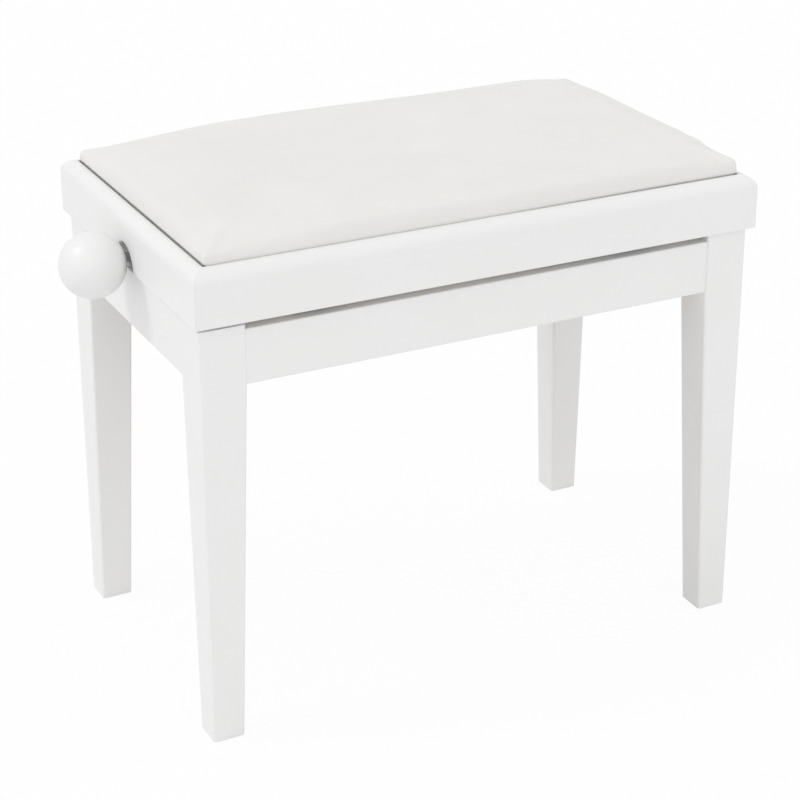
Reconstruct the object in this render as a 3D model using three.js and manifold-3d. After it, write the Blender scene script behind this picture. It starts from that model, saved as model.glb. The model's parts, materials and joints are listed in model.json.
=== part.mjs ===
// A height-adjustable piano bench: a four-legged base, a scissor linkage driven by a threaded
// spindle, and a moulded top frame with a drop-in pad that rises on it.
// Millimetres, +Z up, +X to the right, the long front side facing -Y. The origin is on the floor
// under the middle of the bench.

import * as THREE from 'three';
import { mergeVertices } from 'three/addons/utils/BufferGeometryUtils.js';
import Module from 'manifold-3d';

const wasm = await Module();
wasm.setup();

// ---------------------------------------------------------------- driving dimensions

// Clearances
const SEAT_GAP = 0.3; // between two faces that rest on each other
const PIVOT_GAP = 0.3; // round a rod in its hole
const SIDE_GAP = 1; // between two flat bars that pass each other
const FOLLOW_GAP = 1; // where the open pivots of the scissor need play

// Top frame
const FRAME_LENGTH = 550;
const FRAME_DEPTH = 330;
const FRAME_BOTTOM = 396; // floor to the underside of the lowered frame
const MOULDING_HEIGHT = 50;
const MOULDING_WIDTH = 22;
const MOULDING_ROUND = 12; // the big round on the upper outer edge
const MOULDING_EASE = 2; // the small round on the lower outer edge
const LIP_WIDTH = 13; // moulding left outside the rebate
const REBATE_DEPTH = 15;
const NOTCH_RADIUS = 20; // arch over the spindle, in the two short mouldings
const NOTCH_DROP = 4.5; // the arch's centre below the spindle's axis

// Legs, aprons and side rails
const LEG_INSET_X = 5;
const LEG_INSET_Y = 7;
const LEG_WIDTH = 42;
const FOOT_WIDTH = 29.5;
const LEG_ROUND = 2.5;
const FOOT_EASE = 1;
const APRON_SLOT = 9; // open slot between the lowered frame and the top of an apron
const APRON_HEIGHT = 50; // the legs' taper starts at the aprons' underside
const APRON_THICKNESS = 18;
const APRON_SETBACK = 1.7; // behind the legs' front faces
const SIDE_RAIL_SLOT = 5; // the same slot over a side rail
const SIDE_RAIL_THICKNESS = 18;
const SIDE_RAIL_SETBACK = 1.2;
const BOARD_EDGE_ROUND = 1.5;

// Corner blocks and leg bolts
const BLOCK_THICKNESS = 16;
const BLOCK_HEIGHT = 38;
const BLOCK_LIFT = 6; // above the aprons' underside
const LEG_BOLT_DIAMETER = 8;
const LEG_BOLT_BITE = 22; // length of bolt inside the leg
const LEG_BOLT_HEAD_WIDTH = 15;
const LEG_BOLT_HEAD_HEIGHT = 5.5;
const BOLT_HOLE_PLAY = 0.3;

// Drop-in pad: a board and a foam in a cover that is turned in under the board
const SEAT_BOARD_THICKNESS = 10;
const COVER_THICKNESS = 1;
const COVER_HEM = 12; // width of the cover turned in under the board
const PAD_PLAY = 1; // the thin dark line round the pad
const PAD_SIDE_HEIGHT = 24; // straight side above the ledge, before it rolls over
const PAD_ROLL = 9; // radius of the pad's upper edge
const PAD_CROWN = 7; // extra rise in the middle
const PAD_CORNER_RADIUS = 8;

// Spindle, bearings and knobs
const SPINDLE_DIAMETER = 12;
const KNOB_DIAMETER = 59;
const KNOB_FLAT = 20; // diameter of the flat where the spindle goes in
const KNOB_FACE_GAP = 0.8; // between that flat and the frame's end face
const KNOB_BORE_DEPTH = 34;
const PLATE_THICKNESS = 3;
const PLATE_WIDTH = 50;
const PLATE_DROP = 52; // below the spindle
const PLATE_CROWN = 13; // above the spindle
const BUSH_DIAMETER = 18;
const BUSH_FLANGE_DIAMETER = 24;
const BUSH_FLANGE_THICKNESS = 2;
const BUSH_NOSE = 1; // past the plate's outer face
const COLLAR_DIAMETER = 24;
const COLLAR_WIDTH = 8;

// Scissor linkage
const ARM_HEIGHT = 18;
const ARM_THICKNESS = 4;
const ARM_HEADROOM = 2; // between the arms' round ends and the seat board
const REST_RISE = 19; // upper pivots above the spindle's axis with the seat down
const LIFT = 90; // full rise of the seat
const RAIL_PLATE_THICKNESS = 2.5;
const RAIL_PLATE_DROP = 51; // below the spindle
const RAIL_PLATE_BAND = 30; // height of the plain band
const RAIL_EAR_RADIUS = 11;
const RAIL_END_GAP = 7; // between a mechanism rail's end and the corner block
const STUD_DIAMETER = 10;
const STUD_HEAD_DIAMETER = 14;
const HEAD_THICKNESS = 1.5;
const ROD_DIAMETER = 8;
const ROD_HEAD_DIAMETER = 12;
const CHANNEL_SETBACK = 3; // further room inside the link arms
const CHANNEL_THICKNESS = 2.5;
const CHANNEL_HEIGHT = 18.5;
const CHANNEL_FLANGE = 20;
const CHANNEL_OVERHANG = 13; // past the pivots
const NUT_BAR_SIZE = 16;
const NUT_BAR_PIN_DIAMETER = 10;
const NUT_BOSS_ROOM = 2; // between the boss and the slide rod above it
const NUT_BOSS_LENGTH = 22;
const NUT_BOSS_WIDTH = 30;
const NUT_DIAMETER = 20;
const NUT_FLANGE_DIAMETER = 24;
const NUT_FLANGE_THICKNESS = 2;

// Screws and bolts
const SCREW_DIAMETER = 4;
const SCREW_HEAD_DIAMETER = 8.5;
const SCREW_HEAD_HEIGHT = 3;
const SCREW_BITE = 13; // length inside the wood
const RAIL_SCREW_INSET = 56; // from a mechanism rail's end
const PLATE_SCREW_SPACING = 28;
const CHANNEL_BOLT_DIAMETER = 5;
const CHANNEL_BOLT_INSET = 73; // from a channel's end
const CHANNEL_BOLT_BITE = 8;
const CHANNEL_BOLT_HEAD_DIAMETER = 9;

// ---------------------------------------------------------------- derived places

const frameHalfX = FRAME_LENGTH / 2;
const frameHalfY = FRAME_DEPTH / 2;
const legOuterX = frameHalfX - LEG_INSET_X;
const legOuterY = frameHalfY - LEG_INSET_Y;
const legInnerX = legOuterX - LEG_WIDTH;
const legInnerY = legOuterY - LEG_WIDTH;
const legTop = FRAME_BOTTOM - SEAT_GAP;
const apronTop = FRAME_BOTTOM - APRON_SLOT;
const apronBottom = apronTop - APRON_HEIGHT;
const sideRailTop = FRAME_BOTTOM - SIDE_RAIL_SLOT;
const apronOuterY = legOuterY - APRON_SETBACK;
const apronInnerY = apronOuterY - APRON_THICKNESS;
const railOuterX = legOuterX - SIDE_RAIL_SETBACK;
const railInnerX = railOuterX - SIDE_RAIL_THICKNESS;

const ledgeHeight = MOULDING_HEIGHT - REBATE_DEPTH; // all heights in the top are from its underside
const padBottom = ledgeHeight + SEAT_GAP;
const hemTop = padBottom + COVER_THICKNESS;
const boardBottom = hemTop + SEAT_GAP;
const boardTop = boardBottom + SEAT_BOARD_THICKNESS;
const foamBottom = boardTop + SEAT_GAP;
const padHalfX = frameHalfX - LIP_WIDTH - PAD_PLAY;
const padHalfY = frameHalfY - LIP_WIDTH - PAD_PLAY;
const fillInset = COVER_THICKNESS + SEAT_GAP; // board and foam inside the cover

const upperPivotHeight = boardBottom - ARM_HEADROOM - ARM_HEIGHT / 2;
const spindleHeight = FRAME_BOTTOM + upperPivotHeight - REST_RISE;

// A corner block is a diagonal bar between apron and side rail, just inside the leg's inner edge.
// Along the diagonal, x + y is constant on each of its two long faces.
const blockOuterSum = legInnerX + legInnerY - SEAT_GAP * Math.SQRT2;
const blockInnerSum = blockOuterSum - BLOCK_THICKNESS * Math.SQRT2;
const blockApronFace = apronInnerY - SEAT_GAP;
const blockRailFace = railInnerX - SEAT_GAP;

// The scissor spans the room between the corner blocks.
const slideX = blockInnerSum - blockApronFace - RAIL_END_GAP - RAIL_EAR_RADIUS;
const pivotX = -slideX;
const restSpan = slideX - pivotX;
const armLength = Math.hypot(restSpan, REST_RISE);
const restAngle = Math.asin(REST_RISE / armLength);
const raisedAngle = Math.asin((REST_RISE + LIFT) / armLength);
const slotTravel = restSpan - armLength * Math.cos(raisedAngle);
const railScrewX = slideX + RAIL_EAR_RADIUS - RAIL_SCREW_INSET;
const channelHalf = restSpan / 2 + CHANNEL_OVERHANG;
const channelBoltX = channelHalf - CHANNEL_BOLT_INSET;

const railPlateOuterY = apronInnerY - SEAT_GAP;
const railPlateInnerY = railPlateOuterY - RAIL_PLATE_THICKNESS;
const liftArmOuterY = railPlateInnerY - SIDE_GAP;
const liftArmInnerY = liftArmOuterY - ARM_THICKNESS;
const linkArmOuterY = liftArmInnerY - SIDE_GAP;
const linkArmInnerY = linkArmOuterY - ARM_THICKNESS;
const channelOuterY = linkArmInnerY - SIDE_GAP - CHANNEL_SETBACK;
const channelInnerY = channelOuterY - CHANNEL_THICKNESS;
const channelTop = boardBottom - SEAT_GAP;

const plateOuterX = railInnerX - SEAT_GAP;
const plateInnerX = plateOuterX - PLATE_THICKNESS;
const flangeOuterX = plateInnerX - SEAT_GAP;
const flangeInnerX = flangeOuterX - BUSH_FLANGE_THICKNESS;
const collarOuterX = flangeInnerX - SEAT_GAP;

const knobRadius = KNOB_DIAMETER / 2;
const knobFlatRadius = KNOB_FLAT / 2;
const flatInset = Math.sqrt(knobRadius ** 2 - knobFlatRadius ** 2); // the flat, from the ball's centre
const knobFlatX = frameHalfX + KNOB_FACE_GAP;
const knobCentreX = knobFlatX + flatInset;
const spindleRadius = SPINDLE_DIAMETER / 2;

// Sides of a round piece
const KNOB_STEPS = 28;
const SPINDLE_STEPS = 20;
const ROD_STEPS = 16;
const SCREW_STEPS = 12;
const HOLE_STEPS = 16;
const ARCH_STEPS = 32;

// ---------------------------------------------------------------- materials

const lacquer = new THREE.MeshStandardMaterial({ color: 0xebeae8, roughness: 0.38, metalness: 0 });
const leatherette = new THREE.MeshStandardMaterial({ color: 0xeae9e4, roughness: 0.5, metalness: 0 });
const foam = new THREE.MeshStandardMaterial({ color: 0xe3d9b8, roughness: 0.9, metalness: 0 });
const plywood = new THREE.MeshStandardMaterial({ color: 0xc9a877, roughness: 0.7, metalness: 0 });
const beech = new THREE.MeshStandardMaterial({ color: 0xb98a5c, roughness: 0.65, metalness: 0 });
const blackSteel = new THREE.MeshStandardMaterial({ color: 0x2b2b2d, roughness: 0.5, metalness: 0.3 });
const zincSteel = new THREE.MeshStandardMaterial({ color: 0xb4b7ba, roughness: 0.35, metalness: 1 });
const brass = new THREE.MeshStandardMaterial({ color: 0xb08d4a, roughness: 0.35, metalness: 1 });

// ---------------------------------------------------------------- helpers

// A closed, merged copy of a geometry as a solid that can be joined and cut.
function solidOf(geometry) {
  const bare = geometry.clone();
  bare.deleteAttribute('normal');
  bare.deleteAttribute('uv');
  const merged = mergeVertices(bare, 1e-4);
  return new wasm.Manifold(new wasm.Mesh({
    numProp: 3,
    vertProperties: new Float32Array(merged.attributes.position.array),
    triVerts: new Uint32Array(merged.index.array),
  }));
}

function geometryOf(solid) {
  const result = solid.getMesh();
  const geometry = new THREE.BufferGeometry();
  geometry.setAttribute('position', new THREE.BufferAttribute(result.vertProperties, 3));
  geometry.setIndex(new THREE.BufferAttribute(result.triVerts, 1));
  geometry.computeVertexNormals();
  return geometry;
}

function cut(geometry, ...tools) {
  let solid = solidOf(geometry);
  for (const tool of tools) solid = solid.subtract(solidOf(tool));
  return geometryOf(solid);
}

function join(...geometries) {
  let solid = solidOf(geometries[0]);
  for (const other of geometries.slice(1)) solid = solid.add(solidOf(other));
  return geometryOf(solid);
}

// A box between two corners.
function block(x0, x1, y0, y1, z0, z1) {
  const geometry = new THREE.BoxGeometry(Math.abs(x1 - x0), Math.abs(y1 - y0), Math.abs(z1 - z0));
  return geometry.translate((x0 + x1) / 2, (y0 + y1) / 2, (z0 + z1) / 2);
}

// A round bar along one axis, from one end to the other.
function bar(axis, from, to, diameter, steps = ROD_STEPS) {
  const radius = diameter / 2;
  const geometry = new THREE.CylinderGeometry(radius, radius, Math.abs(to - from), steps);
  if (axis === 'x') geometry.rotateZ(-Math.PI / 2);
  if (axis === 'z') geometry.rotateX(Math.PI / 2);
  const middle = (from + to) / 2;
  const shift = { x: [middle, 0, 0], y: [0, middle, 0], z: [0, 0, middle] }[axis];
  return geometry.translate(...shift);
}

// A turned piece: [radius, height] points from the axis back to the axis, or a closed ring.
function turned(profile, axis, steps = ROD_STEPS) {
  const points = profile.map(([radius, height]) => new THREE.Vector2(radius, height));
  const geometry = new THREE.LatheGeometry(points, steps); // turns about +Y
  if (axis === 'z') geometry.rotateX(Math.PI / 2);
  if (axis === 'x') geometry.rotateZ(-Math.PI / 2);
  return geometry;
}

// A flat shape drawn in X and Z, given thickness along Y between two faces.
function plateXZ(shape, y0, y1, curveSegments = 6) {
  const depth = Math.abs(y1 - y0);
  const geometry = new THREE.ExtrudeGeometry(shape, { depth, bevelEnabled: false, curveSegments });
  return geometry.rotateX(Math.PI / 2).translate(0, Math.max(y0, y1), 0);
}

// A closed ring of points at one height: a rectangle with round corners.
const RING_CORNER_STEPS = 3;
function roundedRing(x0, x1, y0, y1, radius, z) {
  const centres = [
    [x1 - radius, y1 - radius, 0],
    [x0 + radius, y1 - radius, Math.PI / 2],
    [x0 + radius, y0 + radius, Math.PI],
    [x1 - radius, y0 + radius, Math.PI * 1.5],
  ];
  const ring = [];
  for (const [cx, cy, start] of centres) {
    for (let step = 0; step <= RING_CORNER_STEPS; step += 1) {
      const angle = start + (Math.PI / 2) * (step / RING_CORNER_STEPS);
      ring.push([cx + radius * Math.cos(angle), cy + radius * Math.sin(angle), z]);
    }
  }
  return ring;
}

// A skin over rings of equal length, bottom to top, closed with a cap at each end.
function loft(rings) {
  const count = rings[0].length;
  const positions = rings.flat(2);
  const index = [];
  for (let row = 0; row < rings.length - 1; row += 1) {
    for (let i = 0; i < count; i += 1) {
      const next = (i + 1) % count;
      const low = row * count;
      const high = low + count;
      index.push(low + i, low + next, high + next, low + i, high + next, high + i);
    }
  }
  const outline = rings[0].map(([x, y]) => new THREE.Vector2(x, y));
  const top = (rings.length - 1) * count;
  for (const [a, b, c] of THREE.ShapeUtils.triangulateShape(outline, [])) {
    index.push(a, c, b, top + a, top + b, top + c);
  }
  const geometry = new THREE.BufferGeometry();
  geometry.setAttribute('position', new THREE.Float32BufferAttribute(positions, 3));
  geometry.setIndex(index);
  geometry.computeVertexNormals();
  return geometry;
}

// A board along X with its four long edges eased.
function easedBoard(halfLength, y0, y1, z0, z1, ease) {
  const ring = roundedRing(y0, y1, z0, z1, ease, 0);
  const low = ring.map(([y, z]) => [-halfLength, y, z]);
  const high = ring.map(([y, z]) => [halfLength, y, z]);
  return loftAlongX([low, high]);
}

// The same skin with its rings stacked along X instead of Z.
function loftAlongX(rings) {
  const stacked = rings.map((ring) => ring.map(([x, y, z]) => [y, z, x]));
  const geometry = loft(stacked);
  return geometry.applyMatrix4(new THREE.Matrix4().set(0, 0, 1, 0, 1, 0, 0, 0, 0, 1, 0, 0, 0, 0, 0, 1));
}

function addMesh(parent, name, geometry, material) {
  const mesh = new THREE.Mesh(geometry, material);
  mesh.name = name;
  parent.add(mesh);
  return mesh;
}

const SIDES = [['front', -1], ['rear', 1]];
const ENDS = [['left', -1], ['right', 1]];

const bench = new THREE.Group();
const base = new THREE.Group();
const seatTop = new THREE.Group();
seatTop.position.z = FRAME_BOTTOM;
bench.add(base, seatTop);

// ---------------------------------------------------------------- base: legs

// The outer faces stay upright. The two inner faces run in from the aprons' underside to the foot.
function legGeometry(endSign, sideSign) {
  const ring = (width, z, inset) => {
    const xs = [endSign * (legOuterX - inset), endSign * (legOuterX - width + inset)];
    const ys = [sideSign * (legOuterY - inset), sideSign * (legOuterY - width + inset)];
    return roundedRing(Math.min(...xs), Math.max(...xs), Math.min(...ys), Math.max(...ys), LEG_ROUND, z);
  };
  return loft([
    ring(FOOT_WIDTH, 0, FOOT_EASE),
    ring(FOOT_WIDTH, FOOT_EASE, 0),
    ring(LEG_WIDTH, apronBottom, 0),
    ring(LEG_WIDTH, legTop, 0),
  ]);
}

// The leg bolts lie on the diagonal of each corner, level, and meet the leg's inner edge.
const blockMiddle = apronBottom + BLOCK_LIFT + BLOCK_HEIGHT / 2;

function alongCorner(geometry, endSign, sideSign) {
  const facing = Math.atan2(sideSign, endSign); // +X of the geometry points out through the corner
  geometry.rotateZ(facing);
  return geometry.translate(endSign * legInnerX, sideSign * legInnerY, blockMiddle);
}

const blockFar = -SEAT_GAP; // along the diagonal from the leg's inner edge, towards the middle
const blockNear = blockFar - BLOCK_THICKNESS;

for (const [sideName, sideSign] of SIDES) {
  for (const [endName, endSign] of ENDS) {
    const corner = `${sideName}_${endName}`;

    const holeWidth = LEG_BOLT_DIAMETER + 2 * BOLT_HOLE_PLAY;
    const holeEnd = LEG_BOLT_BITE + 2 * BOLT_HOLE_PLAY;
    const legHole = alongCorner(bar('x', -LEG_WIDTH / 2, holeEnd, holeWidth, HOLE_STEPS), endSign, sideSign);
    addMesh(base, `leg_${corner}`, cut(legGeometry(endSign, sideSign), legHole), lacquer);

    const outline = new THREE.Shape();
    outline.moveTo(blockOuterSum - blockApronFace, blockApronFace);
    outline.lineTo(blockInnerSum - blockApronFace, blockApronFace);
    outline.lineTo(blockRailFace, blockInnerSum - blockRailFace);
    outline.lineTo(blockRailFace, blockOuterSum - blockRailFace);
    outline.closePath();
    const blockSolid = new THREE.ExtrudeGeometry(outline, { depth: BLOCK_HEIGHT, bevelEnabled: false });
    blockSolid.translate(0, 0, apronBottom + BLOCK_LIFT);
    const turn = new THREE.Matrix4().makeScale(endSign, sideSign, 1);
    const mirrored = geometryOf(solidOf(blockSolid).transform(turn.elements));
    const blockHole = alongCorner(
      bar('x', blockNear - BLOCK_THICKNESS, LEG_WIDTH / 2, holeWidth, HOLE_STEPS), endSign, sideSign);
    addMesh(base, `corner_block_${corner}`, cut(mirrored, blockHole), beech);

    const headFace = blockNear - SEAT_GAP;
    const hexHead = bar('x', headFace - LEG_BOLT_HEAD_HEIGHT, headFace, LEG_BOLT_HEAD_WIDTH, 6);
    const shank = bar('x', headFace - LEG_BOLT_HEAD_HEIGHT / 2, LEG_BOLT_BITE, LEG_BOLT_DIAMETER);
    addMesh(base, `leg_bolt_${corner}`, alongCorner(join(hexHead, shank), endSign, sideSign), zincSteel);
  }
}

// ---------------------------------------------------------------- base: aprons and side rails

const railScrewZ = spindleHeight - RAIL_PLATE_DROP + RAIL_PLATE_BAND / 2;
const plateScrewZ = (apronBottom + sideRailTop) / 2;
const screwHole = SCREW_DIAMETER + 2 * BOLT_HOLE_PLAY;
const screwHoleDepth = SCREW_BITE + BOLT_HOLE_PLAY;

for (const [sideName, sideSign] of SIDES) {
  const halfLength = legInnerX - SEAT_GAP;
  const ys = [sideSign * apronInnerY, sideSign * apronOuterY].sort((a, b) => a - b);
  const board = easedBoard(halfLength, ys[0], ys[1], apronBottom, apronTop, BOARD_EDGE_ROUND);
  const holes = ENDS.map(([, endSign]) => {
    const hole = bar('y', sideSign * (apronInnerY - SCREW_BITE), sideSign * (apronInnerY + screwHoleDepth),
      screwHole, HOLE_STEPS);
    return hole.translate(endSign * railScrewX, 0, railScrewZ);
  });
  addMesh(base, `apron_${sideName}`, cut(board, ...holes), lacquer);
}

for (const [endName, endSign] of ENDS) {
  const halfLength = legInnerY - SEAT_GAP;
  const xs = [endSign * railInnerX, endSign * railOuterX].sort((a, b) => a - b);
  const board = easedBoard(halfLength, -xs[1], -xs[0], apronBottom, sideRailTop, BOARD_EDGE_ROUND);
  board.rotateZ(Math.PI / 2);
  const holes = SIDES.map(([, sideSign]) => {
    const hole = bar('x', endSign * (railInnerX - SCREW_BITE), endSign * (railInnerX + screwHoleDepth),
      screwHole, HOLE_STEPS);
    return hole.translate(0, sideSign * PLATE_SCREW_SPACING / 2, plateScrewZ);
  });
  addMesh(base, `side_rail_${endName}`, cut(board, ...holes), lacquer);
}

// A round-headed screw along +Y (or +X), its head's underside at zero, its shank going forward.
function screw(axis, sign, diameter, headDiameter, headHeight, length) {
  const radius = diameter / 2;
  const headRadius = headDiameter / 2;
  const profile = [
    [0, -headHeight],
    [headRadius * 0.6, -headHeight * 0.9],
    [headRadius * 0.95, -headHeight * 0.45],
    [headRadius, 0],
    [radius, 0],
    [radius, length - radius],
    [0, length],
  ];
  const points = sign > 0 ? profile : profile.map(([r, h]) => [r, -h]).reverse();
  return turned(points, axis, SCREW_STEPS);
}

// ---------------------------------------------------------------- base: mechanism rails and bearings

// A steel band with an ear at each end: one carries the stud, the other guides the nut bar in a slot.
const slotPlay = FOLLOW_GAP + NUT_BAR_PIN_DIAMETER / 2;

function stadium(path, x0, x1, z, radius) {
  path.absarc(x1, z, radius, -Math.PI / 2, Math.PI / 2, false);
  path.absarc(x0, z, radius, Math.PI / 2, Math.PI * 1.5, false);
  path.closePath();
  return path;
}

function mechanismRailShape() {
  const low = spindleHeight - RAIL_PLATE_DROP;
  const band = low + RAIL_PLATE_BAND;
  const earLeft = pivotX - RAIL_EAR_RADIUS;
  const earRight = slideX + RAIL_EAR_RADIUS;
  const slotEarStart = slideX - slotTravel - slotPlay - RAIL_EAR_RADIUS;
  const shape = new THREE.Shape();
  shape.moveTo(earLeft, low);
  shape.lineTo(earRight, low);
  shape.absarc(slideX, spindleHeight, RAIL_EAR_RADIUS, 0, Math.PI / 2, false);
  shape.lineTo(slotEarStart + RAIL_EAR_RADIUS, spindleHeight + RAIL_EAR_RADIUS);
  shape.lineTo(slotEarStart - RAIL_EAR_RADIUS, band);
  shape.lineTo(pivotX + 2 * RAIL_EAR_RADIUS, band);
  shape.absarc(pivotX, spindleHeight, RAIL_EAR_RADIUS, 0, Math.PI, false);
  shape.closePath();
  shape.holes.push(stadium(new THREE.Path(), slideX - slotTravel - FOLLOW_GAP, slideX + FOLLOW_GAP,
    spindleHeight, slotPlay));
  const studHole = new THREE.Path();
  studHole.absarc(pivotX, spindleHeight, STUD_DIAMETER / 2 + PIVOT_GAP, 0, Math.PI * 2, false);
  shape.holes.push(studHole);
  for (const [, endSign] of ENDS) {
    const hole = new THREE.Path();
    hole.absarc(endSign * railScrewX, railScrewZ, screwHole / 2, 0, Math.PI * 2, false);
    shape.holes.push(hole);
  }
  return shape;
}

for (const [sideName, sideSign] of SIDES) {
  const rail = plateXZ(mechanismRailShape(), sideSign * railPlateOuterY, sideSign * railPlateInnerY);
  addMesh(base, `mechanism_rail_${sideName}`, rail, blackSteel);

  const studRadius = STUD_DIAMETER / 2;
  const studLength = railPlateOuterY - liftArmInnerY + PIVOT_GAP;
  const headRadius = STUD_HEAD_DIAMETER / 2;
  const studProfile = [
    [0, 0], [studRadius, 0], [studRadius, studLength],
    [headRadius, studLength], [headRadius, studLength + HEAD_THICKNESS], [0, studLength + HEAD_THICKNESS],
  ];
  const stud = turned(studProfile, 'y');
  if (sideSign > 0) stud.rotateX(Math.PI);
  stud.translate(pivotX, sideSign * railPlateOuterY, spindleHeight);
  addMesh(base, `pivot_stud_${sideName}`, stud, zincSteel);

  for (const [endName, endSign] of ENDS) {
    const piece = screw('y', sideSign, SCREW_DIAMETER, SCREW_HEAD_DIAMETER, SCREW_HEAD_HEIGHT,
      SCREW_BITE + RAIL_PLATE_THICKNESS + SEAT_GAP);
    piece.translate(endSign * railScrewX, sideSign * (railPlateInnerY - SEAT_GAP), railScrewZ);
    addMesh(base, `rail_screw_${sideName}_${endName}`, piece, zincSteel);
  }
}

for (const [endName, endSign] of ENDS) {
  const x0 = endSign * plateInnerX;
  const x1 = endSign * plateOuterX;
  const crownRadius = PLATE_CROWN;
  const shape = new THREE.Shape();
  shape.moveTo(-PLATE_WIDTH / 2, -PLATE_DROP);
  shape.lineTo(PLATE_WIDTH / 2, -PLATE_DROP);
  shape.lineTo(PLATE_WIDTH / 2, -crownRadius);
  shape.absarc(0, 0, crownRadius, 0, Math.PI, false);
  shape.lineTo(-PLATE_WIDTH / 2, -crownRadius);
  shape.closePath();
  const bore = new THREE.Path();
  bore.absarc(0, 0, BUSH_DIAMETER / 2 + PIVOT_GAP, 0, Math.PI * 2, false);
  shape.holes.push(bore);
  for (const [, sideSign] of SIDES) {
    const hole = new THREE.Path();
    hole.absarc(sideSign * PLATE_SCREW_SPACING / 2, plateScrewZ - spindleHeight, screwHole / 2, 0,
      Math.PI * 2, false);
    shape.holes.push(hole);
  }
  const plate = plateXZ(shape, 0, PLATE_THICKNESS, 10).rotateZ(Math.PI / 2);
  plate.translate(Math.max(x0, x1), 0, spindleHeight);
  addMesh(base, `bearing_plate_${endName}`, plate, blackSteel);

  // Flange on the inside, nose through the plate.
  const inner = spindleRadius + PIVOT_GAP;
  const noseEnd = flangeOuterX - flangeInnerX + SEAT_GAP + PLATE_THICKNESS + BUSH_NOSE;
  const bushProfile = [
    [inner, 0], [BUSH_FLANGE_DIAMETER / 2, 0], [BUSH_FLANGE_DIAMETER / 2, BUSH_FLANGE_THICKNESS],
    [BUSH_DIAMETER / 2, BUSH_FLANGE_THICKNESS], [BUSH_DIAMETER / 2, noseEnd], [inner, noseEnd], [inner, 0],
  ];
  const bush = turned(bushProfile, 'x');
  if (endSign < 0) bush.rotateZ(Math.PI);
  bush.translate(endSign * flangeInnerX, 0, spindleHeight);
  addMesh(base, `spindle_bush_${endName}`, bush, brass);

  for (const [sideName, sideSign] of SIDES) {
    const piece = screw('x', endSign, SCREW_DIAMETER, SCREW_HEAD_DIAMETER, SCREW_HEAD_HEIGHT,
      SCREW_BITE + PLATE_THICKNESS + SEAT_GAP);
    piece.translate(endSign * (plateInnerX - SEAT_GAP), sideSign * PLATE_SCREW_SPACING / 2, plateScrewZ);
    addMesh(base, `plate_screw_${endName}_${sideName}`, piece, zincSteel);
  }
}

// ---------------------------------------------------------------- spindle and knobs

const spindleGroup = new THREE.Group();
spindleGroup.position.z = spindleHeight;
bench.add(spindleGroup);

const spindleEndX = knobFlatX + KNOB_BORE_DEPTH - SEAT_GAP;
const spindle = bar('x', -spindleEndX, spindleEndX, SPINDLE_DIAMETER, SPINDLE_STEPS);
addMesh(spindleGroup, 'spindle', spindle, zincSteel);

const KNOB_PROFILE_STEPS = 10;
for (const [endName, endSign] of ENDS) {
  // Measured outwards from the ball's centre; the flat faces the bench.
  const boreRadius = spindleRadius + PIVOT_GAP;
  const profile = [
    [0, KNOB_BORE_DEPTH - flatInset],
    [boreRadius, KNOB_BORE_DEPTH - flatInset],
    [boreRadius, -flatInset],
  ];
  const startAngle = Math.atan2(-flatInset, knobFlatRadius);
  for (let step = 0; step < KNOB_PROFILE_STEPS; step += 1) {
    const angle = startAngle + (Math.PI / 2 - startAngle) * (step / KNOB_PROFILE_STEPS);
    profile.push([knobRadius * Math.cos(angle), knobRadius * Math.sin(angle)]);
  }
  profile.push([0, knobRadius]);
  const knob = turned(profile, 'x', KNOB_STEPS);
  if (endSign < 0) knob.rotateZ(Math.PI);
  knob.translate(endSign * knobCentreX, 0, 0);
  addMesh(spindleGroup, `knob_${endName}`, knob, lacquer);

  const collarProfile = [
    [boreRadius, 0], [COLLAR_DIAMETER / 2, 0], [COLLAR_DIAMETER / 2, COLLAR_WIDTH],
    [boreRadius, COLLAR_WIDTH], [boreRadius, 0],
  ];
  const collar = turned(collarProfile, 'x');
  if (endSign > 0) collar.rotateZ(Math.PI);
  collar.translate(endSign * collarOuterX, 0, 0);
  addMesh(spindleGroup, `stop_collar_${endName}`, collar, zincSteel);
}

// ---------------------------------------------------------------- scissor linkage

// A flat bar from pivot to pivot, drawn along +X from its first pivot.
function armGeometry(firstHole, middleHole, lastHole, y0, y1) {
  const shape = stadium(new THREE.Shape(), 0, armLength, 0, ARM_HEIGHT / 2);
  const holes = [[0, firstHole], [armLength / 2, middleHole], [armLength, lastHole]];
  for (const [x, diameter] of holes) {
    const hole = new THREE.Path();
    hole.absarc(x, 0, diameter / 2, 0, Math.PI * 2, false);
    shape.holes.push(hole);
  }
  return plateXZ(shape, y0, y1);
}

// A rod along Y with a riveted head at each end. Its shank reaches PIVOT_GAP past both faces.
function headedRod(y0, y1, diameter, headDiameter) {
  const low = Math.min(y0, y1) - PIVOT_GAP;
  const high = Math.max(y0, y1) + PIVOT_GAP;
  const radius = diameter / 2;
  const headRadius = headDiameter / 2;
  return turned([
    [0, low - HEAD_THICKNESS], [headRadius, low - HEAD_THICKNESS], [headRadius, low],
    [radius, low], [radius, high],
    [headRadius, high], [headRadius, high + HEAD_THICKNESS], [0, high + HEAD_THICKNESS],
  ], 'y');
}

const rodHole = ROD_DIAMETER + 2 * PIVOT_GAP;
const crossHole = ROD_DIAMETER + 2 * FOLLOW_GAP;

// The lift arms turn on the studs and push the seat up through the slide rod.
const liftArms = new THREE.Group();
liftArms.position.set(pivotX, 0, spindleHeight);
liftArms.rotation.y = -restAngle;
bench.add(liftArms);

// The link arms hang from the pivot rod, and the nut bar joins their lower ends.
const linkArms = new THREE.Group();
linkArms.position.set(pivotX, 0, spindleHeight + REST_RISE);
linkArms.rotation.y = restAngle;
bench.add(linkArms);

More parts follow.
